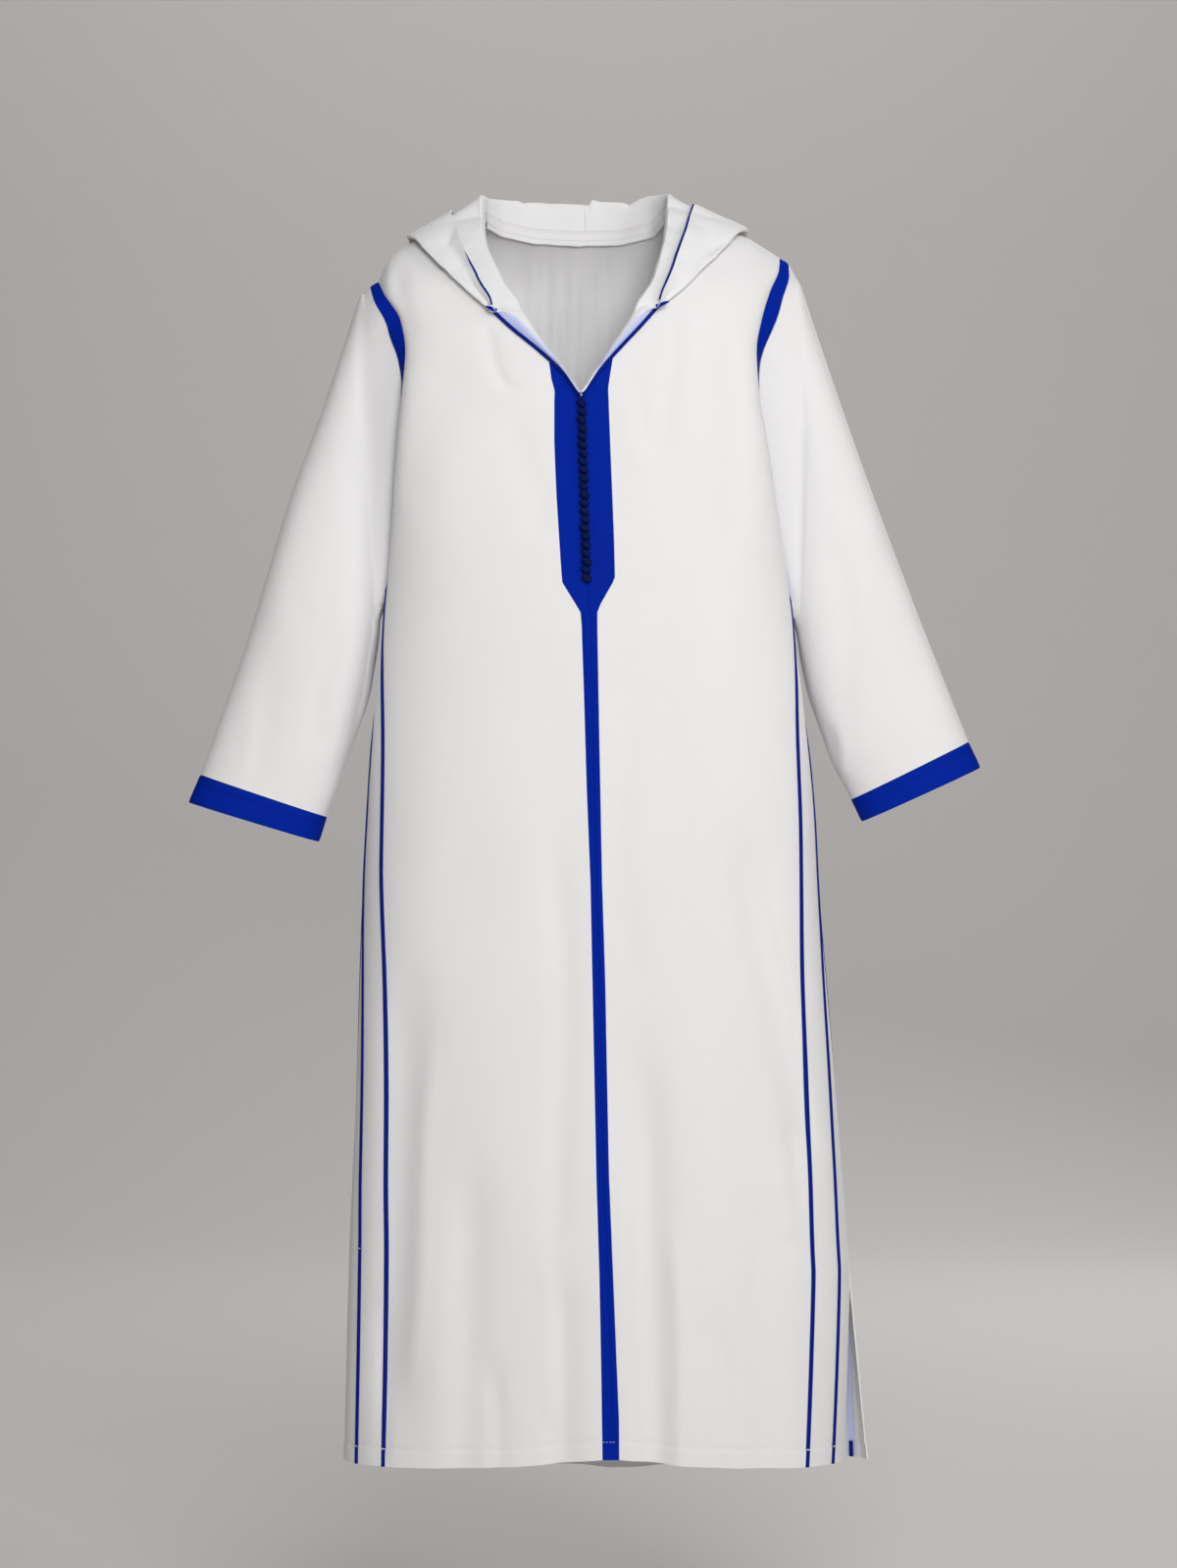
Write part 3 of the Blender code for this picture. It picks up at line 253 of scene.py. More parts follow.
# Hood stations from the tab to the middle of the back. Each is a walk along the cloth:
# neck seam, roll or top fold, outer fold and rim, each across, depth and up
HOOD = {
    "left": (
        ((-65.5, -79, -89), (-65.3, -86.2, -88.5), (-100, -87, -91), (-99, -89.6, -87)),
        ((-70, -68, -82), (-70, -80, -77), (-106, -79, -82), (-102, -90, -74)),
        ((-86, -53, -60), (-86, -66, -52), (-123, -71, -67), (-113, -82, -57)),
        ((-98, -40, -36), (-98, -52, -28), (-140, -60, -51), (-125, -68, -32)),
        ((-105, -24, -14), (-105, -38, -10), (-158, -48, -34), (-134, -52, -8)),
        ((-108, -8, 8), (-110, -16, 17), (-176, -28, -17), (-141, -28, 14)),
        ((-107, 8, 24), (-111, 6, 48), (-194, 6, 0), (-146, 4, 34)),
        ((-98, 30, 24), (-101, 30, 49), (-168, 100, -75), (-128, 78, 6)),
        ((-70, 49, 12), (-72, 51, 48), (-118, 108, -185), (-82, 106, -28)),
        ((-34, 56, 8), (-36, 60, 48), (-58, 112, -285), (-40, 122, -55)),
        ((4.8, 59, 6), (4.8, 62, 48), (4.8, 114, -345), (4.8, 130, -62)),
    ),
    "right": (
        ((59.5, -79, -91), (59.3, -86.2, -90.5), (90, -87, -85), (88, -89.6, -81)),
        ((63, -68, -84), (63, -80, -79), (97, -79, -76), (92, -90, -67)),
        ((77, -53, -66), (77, -67, -58), (113, -73, -62), (101, -82, -46)),
        ((86, -40, -40), (86, -54, -32), (132, -62, -42), (110, -64, -18)),
        ((92, -24, -16), (92, -38, -10), (152, -48, -22), (119, -44, 8)),
        ((96, -8, 10), (96, -16, 17), (169, -28, -5), (124, -22, 26)),
        ((98, 8, 33), (98, 6, 49), (187, 6, 8), (129, 4, 40)),
        ((94, 30, 27), (95, 30, 51), (166, 100, -75), (120, 78, 10)),
        ((70, 49, 14), (72, 51, 48), (120, 108, -185), (84, 106, -26)),
        ((38, 56, 8), (40, 60, 48), (64, 112, -285), (46, 122, -55)),
        ((5.2, 59, 6), (5.2, 62, 48), (5.2, 114, -345), (5.2, 130, -62)),
    ),
}
# Hood: its seam on the neck, its clearance over the panels, its turns, and its points and rows
NECK_SEAM = 0.55
SEAM_START = 6.0
SEAM_BLEND = 14.0
UNDER_CLEAR = 5.2
OVER_CLEAR = 9.6
TURN_FRONT = 4.0
TURN_MORE = 4.0
TURN_CREST = 1.8
FOLD_HALF = 2.4
LOWER_PARTS = (0.1, 0.18, 0.26, 0.35, 0.5, 0.72)
UPPER_PARTS = (0.25, 0.5, 0.75, 1.0)
HOOD_ROWS = (0, 0.5, 1, 1.9, 2.8, 3.7, 4.5, 5.2, 5.8, 6.15, 6.4, 6.6, 6.8, 7.1, 7.5, 8, 8.5, 9, 9.5, 10)
# Height added to the top fold of the neck: place across, rise
CREST = (
    (-112, 0), (-71, 2), (-66, 0), (-14, 0), (7, -1.5), (9.5, -2.2), (12.5, 5), (20, 2.4),
    (46, 1.2), (54, -2.2), (60, 1.4), (66, 4.6), (76, 6.5), (90, 3.5), (99, 1),
)
# Share of that height for each point of a station, from the neck seam on
CREST_SHARE = (0, 0.5, 1, 1, 0.85, 0.6, 0.35, 0.15)
# Rim: height below which its piping shows
RIM_SHOWS = {"left": -14.0, "right": 60.0}
# Hood's front ends that lie on the facings, and its swells and small folds
HOOD_SETTLES = 0.9
HOOD_SWELL = 0.9
HOOD_CREASES = {
    "left": ((-150, -8, -118, -46, 5, 1.4), (-128, 12, -122, -30, 4, -1.0), (-172, -26, -130, -58, 6, 1.2)),
    "right": ((172, -1, 142, -22, 4, 1.8), (150, -4, 120, -40, 6, 1.2), (140, 14, 118, -34, 5, -1.0)),
}
# Piping along the facing: width and height
EDGE_WIDTH = 2.6
EDGE_SHOWS = 3.9
# Small blue tabs at the front ends of the hood: start and end, and width along them
TAB = {
    "left": ((-105.6, -91.0, -84.5), (-93, -93.5, -89.5)),
    "right": ((98.4, -91.0, -79), (84, -93.5, -85)),
}
TAB_WIDTH = ((0, 0.25, 0.8, 1), (0.8, 3.6, 4.8, 4.2))
# Tape inside a slit: its columns' distances in from the edge; and the stitching beside it
SLIT_TAPE = (0.4, 1.2, 4.0, 7.0, 10.0, 12.4, 13.0)
TOPSTITCH = 7.0
# How strongly blue shows through the cloth beside a seam, and how far from it
SHOWS = 0.8
SHADE_NARROW, SHADE_MIDDLE, SHADE_REACH, SHADE_WIDE = 3.0, 3.5, 3.6, 6.0
# Side pieces: name, reach of the tint inside the first and last column, edge at the slit
SIDE_PIECES = (
    ("gore_front_", SHADE_REACH, SHADE_REACH, None), ("side_front_", SHADE_REACH, None, "last"),
    ("side_back_", None, SHADE_WIDE, "first"), ("gore_back_", SHADE_WIDE, SHADE_REACH, None),
)
TACK_ENDS = (2.0, 8.0)
# Tape inside the back of the neck: width, and depth at which it starts
TAPE_WIDTH = 14.0
TAPE_START = 2.0
# Rim's piping: how far it stands out, and its width at heights
PIPING = 2.3
RIM_WIDTH = {
    "left": ((-82, -60, -20, 0), (1.8, 2.4, 1.8, 1.4)),
    "right": ((-76, -50, -10, 20, 38), (1.4, 2.2, 4.2, 3.2, 1.6)),
}
# Spacing of the woven threads in metres, and points round trims and threads
THREAD_PITCH = 0.00055
RIBBON_POINTS = 9
THREAD_POINTS = 5
# Row of knots: number, first and last place across and up, slant, half width and half length
KNOTS = 22
KNOT_LINE = ((1, -188), (7, -392))
KNOT_LEAN = 56.0
KNOT_SIZE = (4.0, 6.0)


# ---------------------------------------------------------------- curves and rings

def smooth(rows, column, place):
    """One column of a table at places along its first column, with no overshoot."""
    table = np.array(sorted(rows), float)
    spots = table[:, 0]
    values = table[:, column]
    slopes = np.diff(values) / np.diff(spots)
    before, after = slopes[:-1], slopes[1:]
    turning = before * after > 0
    tangents = np.zeros(len(spots))
    tangents[1:-1][turning] = 2 * before[turning] * after[turning] / (before + after)[turning]
    tangents[0] = slopes[0]
    tangents[-1] = slopes[-1]
    place = np.clip(np.asarray(place, float), spots[0], spots[-1])
    k = np.clip(np.searchsorted(spots, place) - 1, 0, len(slopes) - 1)
    width = spots[k + 1] - spots[k]
    t = (place - spots[k]) / width
    first = (1 + 2 * t) * (1 - t) ** 2 * values[k] + t * (1 - t) ** 2 * width * tangents[k]
    last = t * t * (3 - 2 * t) * values[k + 1] - t * t * (1 - t) * width * tangents[k + 1]
    return first + last


def straight(rows, place):
    """Second column of a table at places along its first one, joined by straight lines."""
    table = np.array(sorted(rows), float)
    return np.interp(place, table[:, 0], table[:, 1])


def ridge(x):
    return smooth(RIDGE, 1, x)


def rounded(x, y, z):
    """Depth y drawn in towards the shoulder seam near the top of the robe."""
    below = np.clip((ridge(x) - z) / SHOULDER_ROUND, 0, 1)
    return RIDGE_Y + (y - RIDGE_Y) * np.sqrt(1 - (1 - below) ** 2)


def trough(x, z, rows):
    """Depth of the soft troughs."""
    total = np.zeros(np.broadcast(x, z).shape)
    for top_x, top_z, low_x, low_z, half, depth in rows:
        part = (z - top_z) / (low_z - top_z)
        ends = np.clip(np.minimum(part / 0.3, (1.2 - part) / 0.2), 0, 1)
        bend = half * 0.35 * np.sin(part * 5.0 + top_x)
        off = (x - top_x - (low_x - top_x) * part - bend * (abs(depth) < 3.5)) / half
        total = total + depth * eased(ends) * np.exp(-off * off)
    return total


def eased(part):
    """A part between 0 and 1 with a soft start and end."""
    return part * part * (3 - 2 * part)


def walked(points, axis=0):
    """Distance walked along lines of points, from 0 at their start."""
    steps = np.linalg.norm(np.diff(points, axis=axis), axis=-1)
    start = np.zeros_like(np.take(steps, [0], axis=axis))
    return np.concatenate([start, np.cumsum(steps, axis=axis)], axis)


def picked(spots, walk, table):
    """Every column of a table at some distances walked."""
    return np.stack([np.interp(spots, walk, column) for column in table.T], 1)


def ripples(points, length, seed):
    """Soft uneven swells over the cloth, about a length apart, between -1 and 1."""
    total = 0
    for k in range(6):
        angle = seed + 2.4 * k
        way = np.array([math.cos(angle), math.sin(angle), math.sin(1.7 * k + 3 * seed)])
        total = total + np.sin(points @ way * (6.283 / length * (0.6 + 0.15 * k)) + seed * 5 + k * k)
    return total / 4


# Levels of the tables, and points round each half ring
LEVEL_STEP = 3.0
LEVELS = np.arange(-1422.0, 46.0, LEVEL_STEP)
SPOTS = 480


def halves(x, z):
    """Each half of the robe, with which points belong to it."""
    for side, body in SIDES.items():
        here = body.of(body.centre, z)
        yield body, (x < here) if side == "left" else (x >= here)


class Side:
    """One half of the robe's rings, as tables over height and distance walked from the front."""

    def __init__(self, side):
        self.side = side
        self.sign = SIGN[side]
        left, centre, right, front_side, back_side, front, back = [
            smooth(RING, k, LEVELS)[:, None] for k in range(1, 8)]
        edge = abs((left if side == "left" else right) - centre)
        slit = np.clip((SLIT_TOP[side] - LEVELS) / (SLIT_TOP[side] - HEM_BACK[2]), 0, 1)[:, None]
        slit = slit ** SLIT_EASE
        turns = 1 - (1 - np.linspace(0, 1, 180)[None]) ** 2.2
        power, root = FRONT_POWER
        bow = (1 - turns ** power) ** (1 / root)
        ahead = [turns * (edge - SLIT_IN[side][0] * slit), front_side + (front - front_side) * bow]
        flat = 1 - turns ** 1.6
        flare = bow + (flat - bow) * SLIT_FLAT[side] * slit ** 0.6
        behind = [turns * (edge - SLIT_IN[side][1] * slit), back_side + (back - back_side) * flare]
        turn = np.linspace(0, 1, 40)[None, 1:-1]
        hollow = SIDE_HOLLOW * np.clip((LEVELS[:, None] - HOLLOW_END) / HOLLOW_FADE, 0, 1)
        reach = ahead[0][:, -1:] + (behind[0][:, -1:] - ahead[0][:, -1:]) * turn
        reach = reach - hollow * np.sin(math.pi * turn) ** 1.5
        flank = [reach, front_side + (back_side - front_side) * turn]
        x, y = [np.concatenate([ahead[k], flank[k], behind[k][:, ::-1]], 1) for k in (0, 1)]
        walk = walked(np.stack([x, y], -1), 1)
        count = turns.shape[1]
        self.total = walk[:, -1]
        self.front_end = walk[:, count - 1]
        self.back_end = walk[:, -count]
        self.centre = centre[:, 0]
        spots = np.linspace(0, 1, SPOTS)
        self.x, self.y = [np.array([np.interp(spots * w[-1], w, v) for w, v in zip(walk, table)])
                          for table in (x, y)]
        ahead_reach = (straight(MIDDLE[side], LEVELS) - self.centre) * self.sign
        self.inner = np.array([np.interp(r, v[:count], w[:count])
                               for r, v, w in zip(abs(ahead_reach), x, walk)])
        self.inner = np.where(ahead_reach < 0, -self.inner, self.inner)
        self.raw = (x, walk, count)

    def level(self, z):
        place = np.clip((np.asarray(z, float) - LEVELS[0]) / LEVEL_STEP, 0, len(LEVELS) - 1.001)
        low = place.astype(int)
        return low, place - low

    def of(self, table, z):
        """A value that each level has, at any height."""
        low, part = self.level(z)
        return table[low] * (1 - part) + table[low + 1] * part

    def walk_to(self, x, z, behind=False):
        """Distance walked to the place that is x across, on the front or the back."""
        xs, walks, count = self.raw
        out = []
        for a, b in zip(np.atleast_1d(x), np.atleast_1d(z)):
            low, part = self.level(b)
            found = []
            for k in (low, low + 1):
                reach = (a - self.centre[k]) * self.sign
                if behind:
                    found.append(np.interp(reach, xs[k, -count:][::-1], walks[k, -count:][::-1]))
                else:
                    found.append(np.interp(abs(reach), xs[k, :count], walks[k, :count])
                                 * (-1 if reach < 0 else 1))
            out.append(found[0] * (1 - part) + found[1] * part)
        return np.array(out)

    def pick(self, table, walk, z):
        """A value of a table over height and walk."""
        low, part = self.level(z)
        spot = np.clip(abs(walk) / self.of(self.total, z), 0, 1) * (SPOTS - 1.001)
        k = spot.astype(int)
        f = spot - k
        ahead = table[low, k] * (1 - f) + table[low, k + 1] * f
        after = table[low + 1, k] * (1 - f) + table[low + 1, k + 1] * f
        return ahead * (1 - part) + after * part

    def at(self, walk, z, folds=True):
        """Points of the outer face. A negative walk is over the centre line."""
        over = np.where(walk < 0, -1, 1)
        x = self.of(self.centre, z) + self.sign * self.pick(self.x, walk, z) * over
        y = self.pick(self.y, walk, z)
        if folds:
            before = np.clip((self.of(self.front_end, z) - walk) / TROUGH_FADE, 0, 1)
            after = np.clip((walk - self.of(self.back_end, z)) / TROUGH_FADE, 0, 1)
            flat = np.stack(np.broadcast_arrays(x, 0 * y, z * DROP), -1)
            y = y + before * (FOLDS * (trough(x, z, FRONT_TROUGHS) + trough(x, z, FRONT_CREASES))
                              + FRONT_SWELL * ripples(flat, SWELL_LENGTH, 1.3))
            y = y - after * (FOLDS * trough(x, z, BACK_TROUGHS) + trough(x, z, BACK_CREASES)
                             + BACK_SWELL * ripples(flat, SWELL_LENGTH, 2.1))
        z = np.asarray(z, float) + np.zeros(x.shape)
        return np.stack([x, rounded(x, y, z), z], -1)

    def opening(self, z):
        """How far the side slit has opened at a height, from 0 to 1."""
        return eased(np.clip((SLIT_TOP[self.side] - z) / SLIT_OPENS, 0, 1))

    def marks(self, z):
        """Distances walked to the four stripes and the side seam, front to back."""
        z = np.asarray(z, float)
        front_end = self.of(self.front_end, z)
        back_end = self.of(self.back_end, z)
        underarm = UNDERARM[self.side]
        bottom = SIDE[-1][0]
        level = SIDE[0][0] + (z - underarm) * (bottom - SIDE[0][0]) / (bottom - underarm)
        ahead = smooth(SIDE, 1, level)
        half = smooth(SIDE, 2, level)
        flank = back_end - front_end
        near = np.clip(1 - (underarm - z) / FIT_FADE, 0, 1)
        fit = 1 + near * (flank / (2 * GORE_WIDTH + 2 * half) - 1)
        first = front_end - ahead
        second = first + GORE_WIDTH * fit
        middle = second + half * fit
        third = middle + half * fit + flank * self.opening(z)
        fourth = third + GORE_WIDTH * fit
        settled = np.clip((SEAM_LEVEL + SEAM_FADE - z) / SEAM_FADE, 0, 1)
        middle = middle + (front_end + flank / 2 - middle) * settled
        above = z >= underarm
        return (np.where(above, front_end, first), second, middle, third,
                np.where(above, back_end, fourth))


SIDES = {side: Side(side) for side in SIGN}

# Rows down to the underarm and below it, with finer ones in the hem; columns of the pieces
ARM_ROWS = 64
SKIRT_ROWS = 150
HEM_ROWS = 14
HEM_PART = 0.024
ARM = (np.arange(ARM_ROWS + 1) / ARM_ROWS) ** 1.55
SKIRT = np.concatenate([
    (0.012, 0.024), np.linspace(0.034, 1 - HEM_PART, SKIRT_ROWS)[:-1],
    np.linspace(1 - HEM_PART, 1, HEM_ROWS)])
KNEE = ARM_ROWS
PLACKET_ROWS = KNEE + 4
NECK_COLUMNS = 26
SHOULDER_COLUMNS = 38
STRIP_COLUMNS = 9
PLACKET_COLUMNS = 26
CENTRE_COLUMNS = 12


def heights(side, part, top, bottom):
    """Heights of all rows in columns that stand a part of the way to the side."""
    part, top, bottom = np.broadcast_arrays(*[np.atleast_1d(v).astype(float)
                                              for v in (part, top, bottom)])
    knee = KNEE_MIDDLE + (UNDERARM[side] - KNEE_MIDDLE) * part
    upper = top + (knee - top) * ARM[:, None]
    lower = knee + (bottom - knee) * SKIRT[:, None]
    return np.concatenate([upper, lower])


def hem(levels, part):
    return smooth(((0, levels[0]), (0.5, levels[1]), (1, levels[2])), 1, part)


def along(points, count):
    """Evenly spaced points along a line of points, without its last one."""
    points = np.array(points, float)
    walk = walked(points)
    return picked(np.linspace(0, walk[-1], count + 1)[:-1], walk, points)


def panel(side, neck, levels, behind):
    """Outer face of a main panel from its inner edge to the stripe beside it."""
    body = SIDES[side]
    start = NECK_EDGE[side][-1][0]
    parts = np.interp(np.linspace(0, 6, SHOULDER_COLUMNS), range(7), SHOULDER_PARTS)
    across = start + (ARMHOLE_X[side] - start) * parts
    tops = np.stack([across, ridge(across)], 1)
    tops[-1, 1] = ARMHOLE_TOP[side]
    tops = np.concatenate([along(neck, NECK_COLUMNS), tops])
    index = np.concatenate([np.linspace(0, 4, NECK_COLUMNS + 1)[:-1],
                            np.linspace(4, 10, SHOULDER_COLUMNS)])
    low = np.interp(index, range(11), LOW_COLUMNS)
    z = heights(side, low, tops[:, 1], hem(levels, low))

    def limits(z):
        first, last = body.marks(z)[0], body.marks(z)[4]
        if behind:
            return body.of(body.total, z), last
        return body.of(body.inner, z), first

    start, end = limits(tops[:, 1])
    walk = body.walk_to(tops[:, 0], tops[:, 1], behind)
    high = np.clip((walk - start) / (end - start), 0, 1)
    high[-1] = 1.0
    ease = np.interp(ARM, ARM_STEPS, np.linspace(0, 1, len(ARM_STEPS)))
    ease = np.concatenate([eased(ease), np.ones(len(SKIRT))])[:, None]
    start, end = limits(z)
    return body.at(start + (end - start) * (high + (low - high) * ease), z)


def strip(side, k):
    """Outer face of a side strip between two of the seams."""
    body = SIDES[side]
    bottom = HEM_FRONT[2] if k < 2 else HEM_BACK[2]
    z = heights(side, 1, ARMHOLE_TOP[side], bottom)[KNEE:, 0]
    z = np.minimum(z, UNDERARM[side] - 0.01)
    marks = body.marks(z)
    ends = [np.array(marks[k]), np.array(marks[k + 1])]
    opening = body.opening(z)
    if k == 1:
        ends[1] += (body.of(body.front_end, z) - SLIT_FRONT_IN[side] - ends[1]) * opening
    if k == 2:
        ends[0] += (body.of(body.back_end, z) + SLIT_BACK_IN - ends[0]) * opening
    part = np.linspace(0, 1, STRIP_COLUMNS + 1)[None]
    return body.at(ends[0][:, None] * (1 - part) + ends[1][:, None] * part, z[:, None])


# ---------------------------------------------------------------- meshes

def unit(v):
    return v / np.maximum(np.linalg.norm(v, axis=-1, keepdims=True), 1e-9)


def normals_of(grid, closed=False):
    if closed:
        wide = np.concatenate([grid[:, -1:], grid, grid[:, :1]], axis=1)
        across = wide[:, 2:] - wide[:, :-2]
    else:
        across = np.gradient(grid, axis=1)
    return unit(np.cross(across, np.gradient(grid, axis=0)))


def placed(name, data):
    """A new object in the scene."""
    made = bpy.data.objects.new(name, data)
    bpy.context.scene.collection.objects.link(made)
    return made


def add_mesh(name, points, faces, material, uv=None, show=None, sharp=40):
    """One smooth-shaded object from points in millimetres, with a map in metres and a tint."""
    mesh = bpy.data.meshes.new(name)
    mesh.from_pydata(np.asarray(points, float) * MM, [], faces)
    corners = np.zeros(len(mesh.loops), int)
    mesh.loops.foreach_get("vertex_index", corners)
    if uv is not None:
        layer = mesh.uv_layers.new(name="cloth")
        layer.data.foreach_set("uv", (np.asarray(uv)[corners] * MM).ravel())
    tint = mesh.attributes.new("show", "FLOAT", "POINT")
    tint.data.foreach_set("value", np.zeros(len(points)) if show is None else np.asarray(show, float))
    mesh.shade_smooth()
    mesh.set_sharp_from_angle(angle=math.radians(sharp))
    mesh.materials.append(material)
    made = placed(name, mesh)
    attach(made, "root")
    return made


def face_grid(rows, columns, closed=False, offset=0, flip=False):
    i = np.arange(rows - 1)[:, None]
    j = np.arange(columns if closed else columns - 1)[None]
    n = (j + 1) % columns
    a, b = i * columns + j, i * columns + n
    quad = np.stack([a, b, b + columns, a + columns], -1).reshape(-1, 4) + offset
    return quad[:, ::-1] if flip else quad


def tube_faces(rows, columns, start=0, turned=False):
    """Faces round a tube of rings, with its two ends."""
    first = tuple(range(start, start + columns))
    last = tuple(i + (rows - 1) * columns for i in first)
    faces = [tuple(q) for q in face_grid(rows, columns, True, start)]
    return faces + ([first[::-1], last] if turned else [first, last[::-1]])


def stand_for(nodes):
    for node in nodes:
        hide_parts(node)


class Cloth:
    """A piece's outer face as a grid of points, with the normals that its wall follows."""

    def __init__(self, grid, closed=False):
        self.grid = np.array(grid, float)
        self.closed = closed
        self.normal = normals_of(self.grid, closed)
        if closed:
            away = self.grid - self.grid.mean(axis=1, keepdims=True)
        else:
            away = self.grid - np.array([10.0, 0.0, 0.0])
            away[..., 2] = 0
        self.turned = np.sum(self.normal * away) < 0
        if self.turned:
            self.normal = -self.normal
        self.show = np.zeros(self.grid.shape[:2])
        self.show_inside = np.zeros(self.grid.shape[:2])

    def sizes(self):
        """Width, length and area of the flat piece, in metres."""
        grid = np.concatenate([self.grid, self.grid[:, :1]], 1) if self.closed else self.grid
        wide, long = walked(grid, 1)[:, -1].max(), walked(grid)[-1].max()
        d1 = grid[1:, 1:] - grid[:-1, :-1]
        d2 = grid[:-1, 1:] - grid[1:, :-1]
        area = np.linalg.norm(np.cross(d1, d2), axis=2).sum() / 2
        return wide * MM, long * MM, area * MM * MM

    def edged(self, sides, pull=0.0, depth=0.25, reach=0.9, lip=0.25):
        """Extra lines of points beside the named edges: a soft lip, then an edge that rolls in."""
        data = np.concatenate([self.grid, self.normal, self.show[..., None],
                               self.show_inside[..., None]], -1)

        def roll(near, far):
            step = far[..., :3] - near[..., :3]
            length = np.maximum(np.linalg.norm(step, axis=-1, keepdims=True), 1e-6)
            lines = []
            for away, rise in ((pull, -depth), (reach, lip), (2.2 * reach, lip * 0.6)):
                line = near + (far - near) * np.minimum(away / length, away / reach * 0.25)
                line[..., :3] += near[..., 3:6] * rise
                lines.append(line)
            return lines

        for name, axis, step in (("top", 0, 1), ("bottom", 0, -1), ("first", 1, 1), ("last", 1, -1)):
            if name in sides:
                lines = np.moveaxis(data, axis, 0)[::step]
                lines = np.concatenate([np.stack(roll(lines[0], lines[1])), lines[1:]])
                data = np.moveaxis(lines[::step], 0, axis)
        self.grid = data[..., :3]
        self.normal = unit(data[..., 3:6])
        self.show = data[..., 6]
        self.show_inside = data[..., 7]

    def build(self, name, nodes, material, held, rests_on, thickness=CLOTH, centred=False):
        """Closed wall inside the outer face, in place of its nodes."""
        grid = self.grid
        outer = grid + self.normal * (thickness / 2 if centred else 0.0)
        inner = outer - self.normal * thickness
        rows, columns = grid.shape[:2]
        below = rows * columns
        closed = self.closed
        flip = not self.turned
        parts = [face_grid(rows, columns, closed, 0, flip),
                 face_grid(rows, columns, closed, below, not flip)]
        j = np.arange(columns if closed else columns - 1)
        n = (j + 1) % columns
        last = (rows - 1) * columns
        borders = [(j, n, not flip), (last + j, last + n, flip)]
        if not closed:
            i = np.arange(rows - 1) * columns
            borders += [(i, i + columns, flip), (i + columns - 1, i + 2 * columns - 1, not flip)]
        for a, b, turn in borders:
            quad = np.stack([a, b, below + b, below + a], 1)
            parts.append(quad[:, ::-1] if turn else quad)
        u = walked(grid, 1)
        u = u - u.mean(axis=1, keepdims=True)
        uv = np.stack([u, walked(grid)], -1).reshape(-1, 2)
        made = add_mesh(
            name, np.concatenate([outer.reshape(-1, 3), inner.reshape(-1, 3)]),
            np.concatenate(parts), material, np.concatenate([uv, uv]),
            np.concatenate([self.show.ravel(), self.show_inside.ravel()]))
        stand_for(nodes)
        wide, long, area = self.sizes()
        share = area / (wide * long)
        area = None if share > 0.97 else round(max(area, 0.301 * wide * long), 5)


def between(rows, places):
    """Rows at places between given rows, joined by smooth curves."""
    rows = np.array(rows, float)
    places = np.asarray(places, float)
    k = np.minimum(places.astype(int), len(rows) - 2)
    shape = (-1,) + (1,) * (rows.ndim - 1)
    u = (places - k).reshape(shape)
    a = rows[np.maximum(k - 1, 0)]
    b = rows[k]
    c = rows[k + 1]
    d = rows[np.minimum(k + 2, len(rows) - 1)]
    return 0.5 * (2 * b + (c - a) * u + (2 * a - 5 * b + 4 * c - d) * u * u
                  + (3 * b - a - 3 * c + d) * u ** 3)


def rounder(grid, times):
    """Corners of each row cut off, over and over, with its two ends kept."""
    for _ in range(times):
        a, b = grid[:, :-1], grid[:, 1:]
        cut = np.stack([a * 0.75 + b * 0.25, a * 0.25 + b * 0.75], 2)
        cut = cut.reshape(grid.shape[0], -1, grid.shape[2])
        grid = np.concatenate([grid[:, :1], cut[:, 1:-1], grid[:, -1:]], 1)
    return grid


def ribbon(name, nodes, path, normal, material, width, height, lift):
    """Trim of a low rounded section along a path on a surface."""
    path = np.array(path, float)
    tangent = unit(np.gradient(path, axis=0))
    normal = np.array(normal, float)
    normal = unit(normal - tangent * np.sum(tangent * normal, axis=1, keepdims=True))
    across = np.cross(tangent, normal)
    angles = np.linspace(0, math.pi, RIBBON_POINTS)
    side = -np.cos(angles) * 0.5
    rise = np.sin(angles) ** 0.7
    wide = (np.zeros(len(path)) + width)[:, None, None]
    top = (path[:, None] + across[:, None] * side[None, :, None] * wide
           + normal[:, None] * (lift + rise[None, :, None] * height))
    base = path[:, None] + across[:, None] * np.array([0.42, 0, -0.42])[None, :, None] * wide
    base = base + normal[:, None] * lift
    grid = np.concatenate([top, base], 1)
    rows, columns = grid.shape[:2]
    u = np.linspace(0, float(np.max(width)) * 1.4, columns)
    uv = np.stack(np.broadcast_arrays(u[None], walked(path)[:, None]), -1).reshape(-1, 2)
    made = add_mesh(name, grid.reshape(-1, 3), tube_faces(rows, columns), material, uv)
    stand_for(nodes)


def resample(path, step):
    """Values every step along a path, walked over all of its columns."""
    walk = walked(path)
    return picked(np.arange(0, walk[-1], step), walk, path)


def stitches(name, lines, material, length=3.0, gap=1.2, radius=0.32, lift=0.15):
    """Rows of thread. Each line is a path and the normals along it."""
    points, faces = [], []
    count = THREAD_POINTS
    for path, normal in lines:
        data = resample(np.concatenate([path, normal], 1), length + gap)
        for k in range(len(data) - 1):
            a, b = data[k, :3], data[k + 1, :3]
            if not 0 < np.linalg.norm(b - a) < 3 * (length + gap):
                continue
            way = unit(b - a)
            n = unit(data[k, 3:])
            side = np.cross(way, n)
            start = len(points)
            for part, size, rise in ((0, 0.4, -0.4), (0.25, 1, 0.5), (0.75, 1, 0.5), (1, 0.4, -0.4)):
                spot = a + way * (length * part) + n * (lift + rise * radius)
                for t in np.linspace(0, 2 * math.pi, count + 1)[:-1]:
                    points.append(spot + (side * math.cos(t) + n * math.sin(t)) * radius * size)
            faces += tube_faces(4, count, start, True)
    add_mesh(name, points, faces, material, sharp=60)


